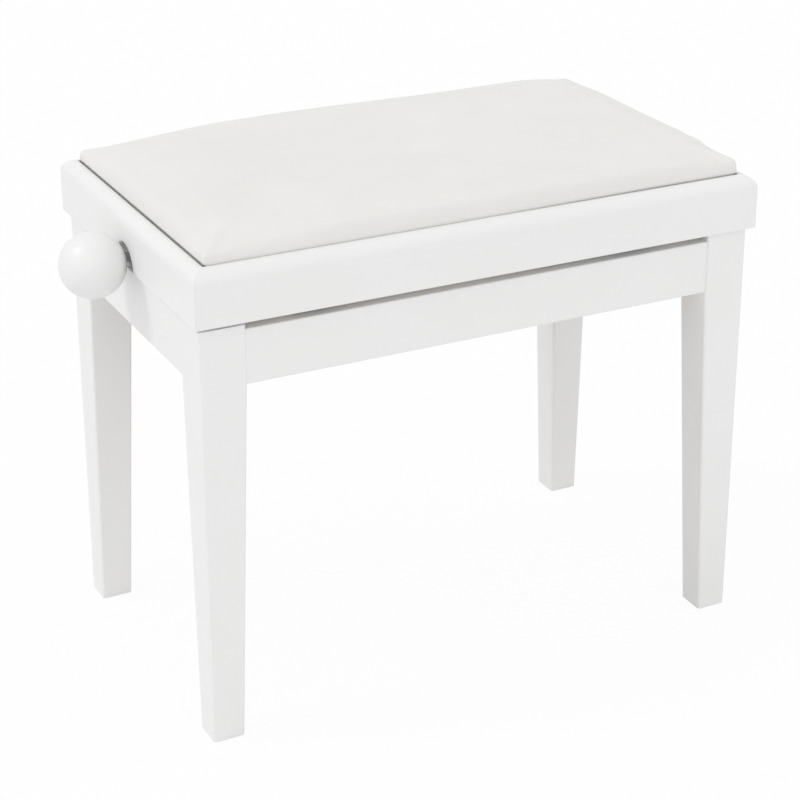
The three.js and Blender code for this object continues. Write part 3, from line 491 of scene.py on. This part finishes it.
def inset_at(vert, outside):
    """How far a point lies inside the outer faces, along X and along Y."""
    return outside.x - abs(vert.co.x), outside.y - abs(vert.co.y)


def outer_loop(shape, outside, height):
    """The level edges that run round the outside at one height."""
    return [edge for edge in shape.edges if all(
        near(v.co.z, height) and near(min(inset_at(v, outside)), 0) for v in edge.verts)]


def corner_chain(shape, outside, reach):
    """The edges that climb the four outer corners, as far in as reach."""
    return [edge for edge in shape.edges if all(
        near(*inset_at(v, outside)) and inset_at(v, outside)[0] < reach for v in edge.verts)]


round_edges(ring, outer_loop(ring, high, high.z), ROUND, segments=12)
round_edges(ring, outer_loop(ring, high, low.z), UNDER_ROUND, segments=4)
corners = corner_chain(ring, high, ROUND + 0.1 * MM)
round_edges(ring, corners, CORNER_ROUND, segments=4)
print("corner edges rounded:", len(corners))

# %% Saw the ring along its mitres


def saw(shape, point, away):
    """Cuts a solid at a plane, drops what lies on the away side and closes the cut."""
    cut = bmesh.ops.bisect_plane(shape, geom=everything(shape), plane_co=point, plane_no=away,
                                 clear_outer=True)
    rim = [part for part in cut["geom_cut"] if isinstance(part, bmesh.types.BMEdge)]
    bmesh.ops.edgeloop_fill(shape, edges=rim)


HAIR, SLIVER = 0.02 * MM, 0.005 * MM  # half the width of a joint, and what merges beside a cut
mouldings = {}
for name, x, y in (("front", 0, -1), ("rear", 0, 1), ("left", -1, 0), ("right", 1, 0)):
    length = ring.copy()
    for turn in (-1, 1):
        corner = Vector((x * high.x + y * turn * high.x, y * high.y + x * turn * high.y, 0))
        along = Vector((y * turn, x * turn, 0))
        away = (along - Vector((x, y, 0))).normalized()
        saw(length, corner - away * HAIR, away)
    bmesh.ops.remove_doubles(length, verts=length.verts, dist=SLIVER)
    mouldings[name] = length
ring.free()
print("mouldings:", {name: len(shape.faces) for name, shape in mouldings.items()})

# %% [markdown]
# The two short mouldings have an arch in the lower edge where they come down over the spindle. It is
# cut with a boolean, the tool for a hole that crosses a shape, and its rim is eased as a sanded edge
# would be. The cutter starts as one face, a half round with a square below it, and is extruded
# through the moulding. Its last steps widen along a quarter circle, which leaves the rim rounded.

# %% Cut the arches and finish the mouldings


def carve(piece, cutter_shape, crossed=False):
    """Takes one shape out of a piece for good. Crossed says that the cutter's own parts overlap."""
    mesh = bpy.data.meshes.new("cutter")
    bmesh.ops.recalc_face_normals(cutter_shape, faces=cutter_shape.faces)
    cutter_shape.to_mesh(mesh)
    cutter_shape.free()
    cutter = bpy.data.objects.new("cutter", mesh)
    scene.collection.objects.link(cutter)
    tool = piece.modifiers.new("cut", "BOOLEAN")
    tool.operation, tool.solver, tool.object = "DIFFERENCE", "EXACT", cutter
    tool.use_self = crossed
    bpy.context.view_layer.update()
    ready = piece.evaluated_get(bpy.context.evaluated_depsgraph_get())
    carved = bpy.data.meshes.new_from_object(ready)
    if not carved.polygons:
        raise ValueError("nothing is left of " + piece.name)
    piece.modifiers.remove(tool)
    bpy.data.objects.remove(cutter)
    bpy.data.meshes.remove(mesh)
    return carved


ARCH, ARCH_DROP, ARCH_RIM = 20 * MM, 4.5 * MM, 2 * MM
# The cutter starts so far inside the outer face, is so long, and its first step is so far.
INSIDE, LENGTH, STRAIGHT = 30 * MM, 31 * MM, 20 * MM
spindle_low, spindle_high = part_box("spindle")
spindle_z = (spindle_low.z + spindle_high.z) / 2


def arch_cutter(outer_face, outward):
    """A half round with a square below it, carried out through a moulding and widened at the rim."""
    cutter = bmesh.new()
    bmesh.ops.create_circle(cutter, cap_ends=True, segments=96, radius=ARCH)
    bmesh.ops.rotate(cutter, verts=cutter.verts, matrix=Matrix.Rotation(math.pi / 2, 3, "Y"))
    lower = [v for v in cutter.verts if v.co.z < -0.1 * MM]
    bmesh.ops.translate(cutter, verts=lower, vec=(0, 0, -ARCH))
    for v in lower:
        v.co.y = math.copysign(ARCH, v.co.y) if abs(v.co.y) > 1e-6 else 0
    start = Vector((outer_face - outward * INSIDE, 0, spindle_z - ARCH_DROP))
    bmesh.ops.translate(cutter, verts=cutter.verts, vec=start)
    quarter = [step * math.pi / 12 for step in range(7)]
    rim = [(INSIDE - ARCH_RIM * (1 - math.sin(turn)), ARCH + ARCH_RIM * (1 - math.cos(turn)))
           for turn in quarter]
    cutter.faces.ensure_lookup_table()
    mouth, reached, wide = cutter.faces[0], 0, ARCH
    for reach, radius in [(STRAIGHT, ARCH)] + rim + [(LENGTH, ARCH + ARCH_RIM)]:
        mouth = bmesh.ops.extrude_discrete_faces(cutter, faces=[mouth])["faces"][0]
        bmesh.ops.translate(cutter, verts=mouth.verts, vec=(outward * (reach - reached), 0, 0))
        bmesh.ops.scale(cutter, verts=mouth.verts, vec=(1, radius / wide, radius / wide),
                        space=Matrix.Translation(-Vector((0, start.y, start.z))))
        reached, wide = reach, radius
    bmesh.ops.edgeloop_fill(cutter, edges=[e for e in cutter.edges if e.is_boundary])
    return cutter


def with_arch(shape, cutter):
    """The same moulding with the arch cut out of it."""
    blank = bpy.data.objects.new("blank", bpy.data.meshes.new("blank"))
    scene.collection.objects.link(blank)
    bmesh.ops.recalc_face_normals(shape, faces=shape.faces)
    shape.to_mesh(blank.data)
    shape.free()
    carved = carve(blank, cutter)
    bpy.data.objects.remove(blank)
    arched = bmesh.new()
    arched.from_mesh(carved)
    bpy.data.meshes.remove(carved)
    return arched


for name, shape in mouldings.items():
    node = "moulding_" + name
    if name == "left":
        shape = with_arch(shape, arch_cutter(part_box(node)[0].x, -1))
    elif name == "right":
        shape = with_arch(shape, arch_cutter(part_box(node)[1].x, 1))
    print(name, "moulding faces:", len(shape.faces))
    make_piece(name + "_moulding", shape, "lacquer", node)
print("arch radius", ARCH / MM, "mm, centre at", round((spindle_z - ARCH_DROP) / MM, 1), "mm")

# %% [markdown]
# ## Legs
# Each leg is a square post. The two outer faces stay upright, and the two inner faces run in from
# the underside of the boards to a smaller foot. One post is cut at that height and its lower inner
# corners are moved, then it is mirrored for the other three places. A top frame that is carried by
# arms seldom lies quite level and stands a little clear of one leg. This one is level, so the front
# left leg ends a few millimetres lower instead, which shows the same dark line.

# %% Shape the legs
leg_low, leg_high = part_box("leg_front_left")
apron_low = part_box("apron_front")[0]
FOOT, CLEARANCE = 29.5 * MM, 4.1 * MM
LEG_ROUND, SOLE_ROUND = 2.5 * MM, 1 * MM


def leg_shape(shorter):
    """The front left leg with its taper and rounded edges, shorter at the top by so much."""
    shape = box_between(leg_low, leg_high - Vector((0, 0, shorter)))
    bmesh.ops.bisect_plane(shape, geom=everything(shape), plane_co=(0, 0, apron_low.z), plane_no=(0, 0, 1))
    foot = [v for v in shape.verts if near(v.co.z, leg_low.z)]
    inner_x = [v for v in foot if near(v.co.x, leg_high.x)]
    inner_y = [v for v in foot if near(v.co.y, leg_high.y)]
    bmesh.ops.translate(shape, verts=inner_x, vec=(leg_low.x + FOOT - leg_high.x, 0, 0))
    bmesh.ops.translate(shape, verts=inner_y, vec=(0, leg_low.y + FOOT - leg_high.y, 0))
    upright = [e for e in shape.edges if abs(e.verts[0].co.z - e.verts[1].co.z) > 10 * MM]
    round_edges(shape, upright, LEG_ROUND, segments=5)
    sole = [e for e in shape.edges if all(near(v.co.z, leg_low.z) for v in e.verts)]
    round_edges(shape, sole, SOLE_ROUND, segments=2)
    return shape


for name, x, y in (("front_left", 1, 1), ("front_right", -1, 1),
                   ("rear_left", 1, -1), ("rear_right", -1, -1)):
    shape = leg_shape(CLEARANCE if name == "front_left" else 0)
    bmesh.ops.scale(shape, vec=(x, y, 1), verts=shape.verts)
    make_piece("post_" + name, shape, "lacquer", "leg_" + name)
print("leg", round((leg_high.x - leg_low.x) / MM, 1), "mm square, foot", FOOT / MM, "mm")

# %% [markdown]
# ## Front and rear aprons and side rails
# Four boards join the legs. Their long edges are eased with sandpaper, and their ends are let into
# the legs by just under a millimetre, so that no slit shows beside the rounded edge of a leg.

# %% Shape the boards
LET_IN, BOARD_ROUND = 0.9 * MM, 1.5 * MM


def board_shape(node, long_axis):
    """A board with its long edges rounded, let into the legs at both ends."""
    low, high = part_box(node)
    let_in = Vector([LET_IN if i == long_axis else 0 for i in range(3)])
    shape = box_between(low - let_in, high + let_in)
    along = [e for e in shape.edges if abs((e.verts[1].co - e.verts[0].co)[long_axis]) > 50 * MM]
    round_edges(shape, along, BOARD_ROUND, segments=4)
    return shape


for name in ("front", "rear"):
    make_piece("long_apron_" + name, board_shape("apron_" + name, 0), "lacquer", "apron_" + name)
for name in ("left", "right"):
    make_piece("short_rail_" + name, board_shape("side_rail_" + name, 1), "lacquer", "side_rail_" + name)

# %% [markdown]
# ## The ball knobs
# A turned ball with a small flat on the side that faces the bench and a bore for the spindle. It
# starts as a sphere with its poles along the spindle, the flat is a plane cut, and the bore is the
# cut face inset and pushed in.

# %% Turn the knobs
KNOB, FLAT, BORE = 29.5 * MM, 10 * MM, 6.1 * MM
FLAT_ROUND, BORE_DEPTH = 1.2 * MM, 34 * MM
for name, sign in (("left", -1), ("right", 1)):
    low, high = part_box("knob_" + name)
    centre = Vector((high.x - KNOB if sign > 0 else low.x + KNOB, 0, spindle_z))
    ball = bmesh.new()
    bmesh.ops.create_uvsphere(ball, u_segments=64, v_segments=40, radius=KNOB)
    bmesh.ops.rotate(ball, verts=ball.verts, matrix=Matrix.Rotation(math.pi / 2, 3, "Y"))
    facing = math.sqrt(KNOB ** 2 - FLAT ** 2)
    saw(ball, Vector((-sign * facing, 0, 0)), Vector((-sign, 0, 0)))
    flat_face = max(ball.faces, key=lambda face: -sign * face.calc_center_median().x)
    round_edges(ball, list(flat_face.edges), FLAT_ROUND, segments=3)
    flat_face = max(ball.faces, key=lambda face: -sign * face.calc_center_median().x)
    reach = flat_face.edges[0].verts[0].co.yz.length
    bmesh.ops.inset_region(ball, faces=[flat_face], thickness=reach - BORE, use_even_offset=True)
    hole = bmesh.ops.extrude_discrete_faces(ball, faces=[flat_face])["faces"][0]
    bmesh.ops.translate(ball, vec=(sign * BORE_DEPTH, 0, 0), verts=hole.verts)
    bmesh.ops.translate(ball, vec=centre, verts=ball.verts)
    make_piece("ball_" + name, ball, "lacquer", "knob_" + name)
print("knob", 2 * KNOB / MM, "mm across")

# %% [markdown]
# ## The pad
# A plywood board and a block of foam in a tight cover of leatherette, which is turned in under the
# board and stapled. A foam pad in a stretched cover bulges: its top rises into a low crown and its
# upper edge rolls over. The cover starts as a slightly smaller block, is remeshed to even squares,
# and a cloth simulation with air pressure inside swells it. How far a point may move is capped, and
# the lower part that sits in the frame keeps its shape.

# %% Shape the pad before it swells
pad_low, pad_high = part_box("pad_cover")
SIDE_TOP, ROLL, HEM = pad_low.z + 24 * MM, 9 * MM, 12 * MM
SPARE, SHOULDER = 1.2, 3.4 * MM  # how much smaller the block is a side, in mm, and its rise over the roll
CROWN = ((18, 0.6), (30, 0.3), (40, 0.2), (40, 0.1))  # each step in and each step up, in mm
TOP_ROUND, SIDE_ROUND = 8 * MM, 3.5 * MM
blank_low = pad_low + Vector((SPARE, SPARE, 0)) * MM
blank_high = Vector((pad_high.x - SPARE * MM, pad_high.y - SPARE * MM, SIDE_TOP + ROLL + SHOULDER))
pad = box_between(blank_low, blank_high)
ceiling = max(pad.faces, key=lambda face: face.calc_center_median().z)
for inset, rise in CROWN:
    bmesh.ops.inset_region(pad, faces=[ceiling], thickness=inset * MM, use_even_offset=True)
    bmesh.ops.translate(pad, vec=(0, 0, rise * MM), verts=ceiling.verts)
round_edges(pad, outer_loop(pad, blank_high, blank_high.z), TOP_ROUND, segments=6)
round_edges(pad, corner_chain(pad, blank_high, TOP_ROUND + 0.1 * MM), SIDE_ROUND, segments=4)
cover_mesh = bpy.data.meshes.new("cover")
bmesh.ops.recalc_face_normals(pad, faces=pad.faces)
pad.to_mesh(cover_mesh)
pad.free()
cover = bpy.data.objects.new("pad_cover_stretched", cover_mesh)
scene.collection.objects.link(cover)
print("pad blank top at", round(max(v.co.z for v in cover_mesh.vertices) / MM, 1), "mm")

# %% Even squares, then the simulation
SQUARE, STEPS, FURTHEST = 4 * MM, 20, 3 * MM
FREE, HELD_BAND = 1 * MM, 5 * MM  # free down to here below the block's top, then held more and more


def settle(piece):
    """Keeps what the modifiers make of a piece as its own mesh."""
    bpy.context.view_layer.update()
    ready = piece.evaluated_get(bpy.context.evaluated_depsgraph_get())
    mesh = bpy.data.meshes.new_from_object(ready)
    piece.modifiers.clear()
    old, piece.data = piece.data, mesh
    bpy.data.meshes.remove(old)


squares = cover.modifiers.new("even squares", "REMESH")
squares.mode, squares.voxel_size = "VOXEL", SQUARE
settle(cover)
rest = [v.co.copy() for v in cover.data.vertices]
print("points in the cover:", len(rest))
held = cover.vertex_groups.new(name="held")
for v in cover.data.vertices:
    share = min(max((blank_high.z - FREE - v.co.z) / HELD_BAND, 0), 1)
    if share > 0:
        held.add([v.index], share, "REPLACE")
cloth = cover.modifiers.new("leatherette", "CLOTH")
cloth.settings.quality = 6
cloth.settings.mass = 0.4
cloth.settings.tension_stiffness = cloth.settings.compression_stiffness = 30
cloth.settings.bending_stiffness = 2.0
cloth.settings.use_pressure = True
cloth.settings.uniform_pressure_force = 4
cloth.settings.effector_weights.gravity = 0
cloth.settings.vertex_group_mass = "held"
cloth.point_cache.frame_start, cloth.point_cache.frame_end = 1, STEPS
for step in range(1, STEPS + 1):
    scene.frame_set(step)
ready = cover.evaluated_get(bpy.context.evaluated_depsgraph_get())
moved = [v.co.copy() for v in ready.data.vertices]
cover.modifiers.remove(cloth)
scene.frame_set(1)
longest = 0
for v, start, end in zip(cover.data.vertices, rest, moved):
    way = end - start
    longest = max(longest, way.length)
    if way.length > FURTHEST:
        way *= FURTHEST / way.length
    v.co = start + way
print("the cover wanted to move", round(longest / MM, 1), "mm at most")

# %% Turn the cover in under the board and bring it to its size
TURNED_IN = 1.7 * MM
shape = bmesh.new()
shape.from_mesh(cover.data)
for _ in range(2):
    upper = [v for v in shape.verts if v.co.z > SIDE_TOP]
    bmesh.ops.smooth_vert(shape, verts=upper, factor=0.5, use_axis_x=True, use_axis_y=True,
                          use_axis_z=True)
under = [f for f in shape.faces if f.normal.z < -0.9
         and abs(f.calc_center_median().x) < pad_high.x - HEM
         and abs(f.calc_center_median().y) < pad_high.y - HEM]
lifted = bmesh.ops.extrude_face_region(shape, geom=under)
bmesh.ops.translate(shape, vec=(0, 0, TURNED_IN),
                    verts=[part for part in lifted["geom"] if isinstance(part, bmesh.types.BMVert)])
print("faces under the board:", len(under))
bmesh.ops.delete(shape, geom=under, context="FACES")
now_low = Vector([min(v.co[i] for v in shape.verts) for i in range(3)])
now_high = Vector([max(v.co[i] for v in shape.verts) for i in range(3)])
fit = Vector([(pad_high[i] - pad_low[i]) / (now_high[i] - now_low[i]) for i in range(3)])
bmesh.ops.translate(shape, vec=-(now_low + now_high) / 2, verts=shape.verts)
bmesh.ops.scale(shape, vec=fit, verts=shape.verts)
bmesh.ops.translate(shape, vec=(pad_low + pad_high) / 2, verts=shape.verts)
print("fitted by", [round(value, 4) for value in fit])

# %% [markdown]
# A drop-in pad is not a block. The leatherette is drawn down hardest at the corners, most of all on
# the left, and the sides lean in above the frame. Below the frame's top the cover tucks in, which
# opens a dark line along the short sides and, more and more towards the right, along the long ones.
# Just above the frame the cover stands out over that line. Three corners are pulled out firm and
# square, and the rear right one is slack. The rear and right edges are a little fuller than the rest.
# These are all moves of whole regions of points, each faded out over a stated distance.

# %% Draw the cover tight


def fading(distance, reach):
    """1 at the edge and 0 from reach inwards, smooth at both ends."""
    share = min(max(1 - distance / reach, 0), 1)
    return share * share * (3 - 2 * share)


def ramp(value, start, end):
    """0 before start, 1 after end and even between them."""
    return min(max((value - start) / (end - start), 0), 1)


FRAME_TOP = front_high.z
TUCK_END, OVERHANG = FRAME_TOP - 0.5 * MM, FRAME_TOP + 0.9 * MM
TUCK_START, TUCK_FULL = pad_low.z + 2 * MM, pad_low.z + 7 * MM
TUCK_SHORT, TUCK_LONG, CLEAR = 3.4 * MM, 1.6 * MM, 0.2 * MM
LEAN_SHORT, LEAN_FRONT, LEAN_REAR, LEAN_POWER = 3.6, 2.6, 1.0, 1.2
PULL_OUT, PULL_IN, CORNER = 2.2 * MM, -2.5 * MM, 14 * MM
SIDE_REACH, LEAN_REACH = 45 * MM, 40 * MM


def sideways(point):
    """How far out a point of the cover ends up along X and along Y, both without a sign."""
    from_short, from_long = pad_high.x - abs(point.x), pad_high.y - abs(point.y)
    rise = fading(1 - ramp(point.z, FRAME_TOP, SIDE_TOP + ROLL), 1)
    pull = PULL_IN if point.x > 0 and point.y > 0 else PULL_OUT
    firm = max(1 - from_short / CORNER, 0) * max(1 - from_long / CORNER, 0) * pull
    wide, deep = min(abs(point.x) + firm, pad_high.x), min(abs(point.y) + firm, pad_high.y)
    tuck = ramp(point.z, TUCK_START, TUCK_FULL) * (1 - ramp(point.z, TUCK_END, OVERHANG))
    lean_in = LEAN_SHORT * MM * rise ** LEAN_POWER * (1 - fading(from_long, LEAN_REACH))
    lean = LEAN_FRONT if point.y < 0 else LEAN_REAR
    lean_back = lean * MM * rise ** LEAN_POWER * (1 - fading(from_short, LEAN_REACH))
    wide -= (CLEAR + TUCK_SHORT * tuck + lean_in) * fading(from_short, SIDE_REACH)
    tuck_back = TUCK_LONG * tuck * ramp(point.x, 0, 180 * MM)
    deep -= (tuck_back + lean_back) * fading(from_long, SIDE_REACH)
    return wide, deep


def lift(point):
    """How far a point of the cover rises, less than 0 where it is drawn down."""
    from_short, from_long = pad_high.x - abs(point.x), pad_high.y - abs(point.y)
    rise = fading(1 - ramp(point.z, FRAME_TOP, SIDE_TOP + ROLL), 1)
    left = point.x < 0
    corner_reach, corner_droop = (140 * MM, 7.0 * MM) if left else (70 * MM, 4.4 * MM)
    droop = 0.8 * MM * fading(from_short, 60 * MM)
    droop += corner_droop * fading(from_short, corner_reach) * fading(from_long, 90 * MM)
    if point.x > 0 and point.y > 0:
        droop += 1.5 * MM * fading(from_short, 30 * MM) * fading(from_long, 30 * MM)
    from_rear, from_right = pad_high.y - point.y, pad_high.x - point.x
    fuller = 2.2 * MM * fading(abs(point.x + 50 * MM), 170 * MM) * fading(from_rear, 90 * MM)
    fuller += 1.4 * MM * fading(abs(point.y + 100 * MM), 130 * MM) * fading(from_right, 60 * MM)
    return (fuller - droop) * rise


for height in (TUCK_END, OVERHANG):
    bmesh.ops.bisect_plane(shape, geom=everything(shape), dist=0.5 * MM,
                           plane_co=(0, 0, height), plane_no=(0, 0, 1))
for v in shape.verts:
    wide, deep = sideways(v.co)
    v.co = (math.copysign(wide, v.co.x), math.copysign(deep, v.co.y), v.co.z + lift(v.co))
for face in shape.faces:
    face.smooth = True
print("pad top at", round(max(v.co.z for v in shape.verts) / MM, 1), "mm, open edges:",
      sum(not e.is_manifold for e in shape.edges))
shape.to_mesh(cover.data)
shape.free()
cover.data.materials.clear()
cover.data.materials.append(leatherette)
finer = cover.modifiers.new("one step finer", "SUBSURF")
finer.levels = finer.render_levels = 1
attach(cover, "seat_top")
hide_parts("pad_cover", "pad_foam")

# %% [markdown]
# ## The mechanism under the seat
# The arms, rails, channels, plates, pins and blocks have their true shape in the solid model
# already. A copy of each is merged, its flat faces are joined, and a small bevel takes the sharpness
# off every edge, as tumbling and coating do to pressed steel. The seat board's copy is a little
# smaller, because the cover tucks in beside it and the full board would show through.

# %% Ease the edges of the solid pieces
SAME_POINT, SAME_PLANE = 0.002 * MM, math.radians(1)


def eased_copy(node, slot, width, smaller=(0, 0), recess=None):
    """A copy of a solid with softened edges, drawn in by so much along X and Y, with a recess if asked."""
    source = frame["nodes"][node]
    shape = bmesh.new()
    shape.from_mesh(source.data)
    bmesh.ops.remove_doubles(shape, verts=shape.verts, dist=SAME_POINT)
    bmesh.ops.dissolve_limit(shape, angle_limit=SAME_PLANE, verts=shape.verts, edges=shape.edges)
    for v in shape.verts:
        v.co.x -= math.copysign(smaller[0], v.co.x)
        v.co.y -= math.copysign(smaller[1], v.co.y)
    for face in shape.faces:
        face.smooth = True
    piece = bpy.data.objects.new(node + "_eased", bpy.data.meshes.new(node + "_eased"))
    scene.collection.objects.link(piece)
    shape.to_mesh(piece.data)
    shape.free()
    if recess:
        before, piece.data = piece.data, carve(piece, recess, crossed=True)
        bpy.data.meshes.remove(before)
    piece.data.set_sharp_from_angle(angle=SHARP)
    piece.data.materials.clear()
    piece.data.materials.append(FINISH[slot])
    bevel = piece.modifiers.new("eased edges", "BEVEL")
    bevel.width, bevel.segments = width, 2
    bevel.limit_method, bevel.angle_limit = "ANGLE", SHARP
    bevel.harden_normals = True
    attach(piece, source["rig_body"])
    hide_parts(node)
    return piece


for node in frame["nodes"]:
    if node.startswith(("mechanism_rail", "bearing_plate", "lift_arm", "link_arm", "seat_channel",
                        "nut_bar")):
        eased_copy(node, "black_steel", 0.5 * MM)
    elif node.startswith(("leg_bolt", "pivot_stud", "cross_pin", "slide_rod", "pivot_rod")):
        eased_copy(node, "zinc_steel", 0.4 * MM)
    elif node.startswith(("spindle_bush", "spindle_nut")):
        eased_copy(node, "brass", 0.4 * MM)
    elif node.startswith("corner_block"):
        eased_copy(node, "beech", 1.0 * MM)
eased_copy("seat_board", "plywood", 1.0 * MM, smaller=(4.5 * MM, 2.5 * MM))

# %% [markdown]
# Each screw has a cross recess for the driver and each stop collar has a set screw that bites on the
# spindle. Both are cut with the same boolean as the arches. The recess is two crossed slots in the
# middle of the head, and the head is the end where the solid is widest.

# %% Cut the recesses
RECESS_LONG, RECESS_WIDE, RECESS_DEEP = 5.2 * MM, 1.1 * MM, 2.6 * MM  # half of the depth is above the head
SET_SCREW, SET_SCREW_DEEP = 1.8 * MM, 6 * MM


def cross_recess(node):
    """Two crossed slots that reach a little way into the head of a screw."""
    low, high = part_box(node)
    size, middle = high - low, (low + high) / 2
    axis = max(range(3), key=lambda i: size[i])
    spans = {}
    for v in frame["nodes"][node].data.vertices:
        out = v.co - middle
        sign = 1 if out[axis] > 0 else -1
        out[axis] = 0
        spans[sign] = max(spans.get(sign, 0), out.length)
    head = high[axis] if spans[1] > spans[-1] else low[axis]
    shape = bmesh.new()
    for long_way in [i for i in range(3) if i != axis]:
        sides = [RECESS_WIDE] * 3
        sides[axis], sides[long_way] = RECESS_DEEP, RECESS_LONG
        slot = bmesh.ops.create_cube(shape, size=1)["verts"]
        bmesh.ops.scale(shape, verts=slot, vec=sides)
    if axis == 0:
        bmesh.ops.rotate(shape, verts=shape.verts, matrix=Matrix.Rotation(math.pi / 4, 3, "X"))
    where = middle.copy()
    where[axis] = head
    bmesh.ops.translate(shape, verts=shape.verts, vec=where)
    return shape


for node in frame["nodes"]:
    if node.startswith(("rail_screw", "plate_screw", "channel_bolt")):
        eased_copy(node, "zinc_steel", 0.2 * MM, recess=cross_recess(node))
    elif node.startswith("stop_collar"):
        low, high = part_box(node)
        hole = bmesh.new()
        bmesh.ops.create_cone(hole, cap_ends=True, segments=24, radius1=SET_SCREW, radius2=SET_SCREW,
                              depth=SET_SCREW_DEEP)
        bmesh.ops.translate(hole, verts=hole.verts, vec=((low.x + high.x) / 2, 0, low.z))
        eased_copy(node, "zinc_steel", 0.3 * MM, recess=hole)

# %% [markdown]
# ## The spindle
# A plain steel rod with a stretch of thread where the nut travels. A thread is one tooth profile
# carried round the rod and forward at the same time, which is a spin with a step along the axis.
# The turns are merged into one surface, and both ends are cut square and closed. The thread
# rises 4 mm a turn, which is what makes the seat climb its full height in four and a half turns.

# %% Cut the thread and add the plain ends
PITCH, ROOT, CUTS = 4 * MM, 4.9 * MM, 24  # CUTS is the number of steps in one turn
THREAD_START, THREAD_END, LAP = 118 * MM, 212 * MM, 0.3 * MM
crest = (spindle_high.z - spindle_low.z) / 2
tooth = ((0.3, ROOT), (0.45, crest), (0.85, crest), (1.0, ROOT))
first_tooth = THREAD_START - 1.13 * PITCH  # so that no corner of a tooth lies on the saw cut
rod = bmesh.new()
last = bmesh.ops.create_vert(rod, co=(first_tooth, 0, spindle_z + ROOT))["vert"][0]
for along, radius in tooth:
    last = bmesh.ops.extrude_vert_indiv(rod, verts=[last])["verts"][0]
    last.co = (first_tooth + along * PITCH, 0, spindle_z + radius)
turns = math.ceil((THREAD_END - first_tooth) / PITCH) + 1
bmesh.ops.spin(rod, geom=rod.verts[:] + rod.edges[:], cent=(0, 0, spindle_z), axis=(1, 0, 0),
               dvec=(PITCH / CUTS, 0, 0), angle=2 * math.pi * turns, steps=CUTS * turns)
bmesh.ops.remove_doubles(rod, verts=rod.verts, dist=0.01 * MM)
saw(rod, Vector((THREAD_START, 0, 0)), Vector((-1, 0, 0)))
saw(rod, Vector((THREAD_END, 0, 0)), Vector((1, 0, 0)))
for start, end in ((spindle_low.x, THREAD_START + LAP), (THREAD_END - LAP, spindle_high.x)):
    plain = bmesh.ops.create_cone(rod, cap_ends=True, segments=48, radius1=crest, radius2=crest,
                                  depth=end - start)
    bmesh.ops.rotate(rod, verts=plain["verts"], matrix=Matrix.Rotation(math.pi / 2, 3, "Y"))
    bmesh.ops.translate(rod, verts=plain["verts"], vec=((start + end) / 2, 0, spindle_z))
print("thread:", turns, "turns, open edges:", sum(not e.is_manifold for e in rod.edges))
make_piece("threaded_spindle", rod, "zinc_steel", "spindle")

# %% [markdown]
# ## The staples
# The cover's hem is stapled to the underside of the board all the way round. Only a narrow strip of
# the hem shows inside the frame, so the staples stand in that strip. One staple's crown is a small
# bar, and it is repeated along the four sides.

# %% Drive the staples
STAPLE, IN_FROM_EDGE = Vector((10, 1.2, 0.8)) * MM, 10 * MM
LONG_STEP, SHORT_STEP = 32 * MM, 28 * MM
hem_x, hem_y = pad_high.x - IN_FROM_EDGE, pad_high.y - IN_FROM_EDGE
staples = bmesh.new()


def staple(x, y, turned):
    """Adds one staple's crown, along X or turned to lie along Y."""
    crown = bmesh.ops.create_cube(staples, size=1)["verts"]
    bmesh.ops.scale(staples, verts=crown, vec=(STAPLE.y, STAPLE.x, STAPLE.z) if turned else STAPLE)
    bmesh.ops.translate(staples, verts=crown, vec=(x, y, pad_low.z))


for sign in (-1, 1):
    for place in range(-7, 8):
        staple(place * LONG_STEP, sign * hem_y, False)
    for place in range(-4, 5):
        staple(sign * hem_x, place * SHORT_STEP, True)
print("staples:", len(staples.faces) // 6)
make_piece("hem_staples", staples, "zinc_steel", [], body="seat_top")

# %% Keep the lowest and highest corners of the bench
low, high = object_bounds()
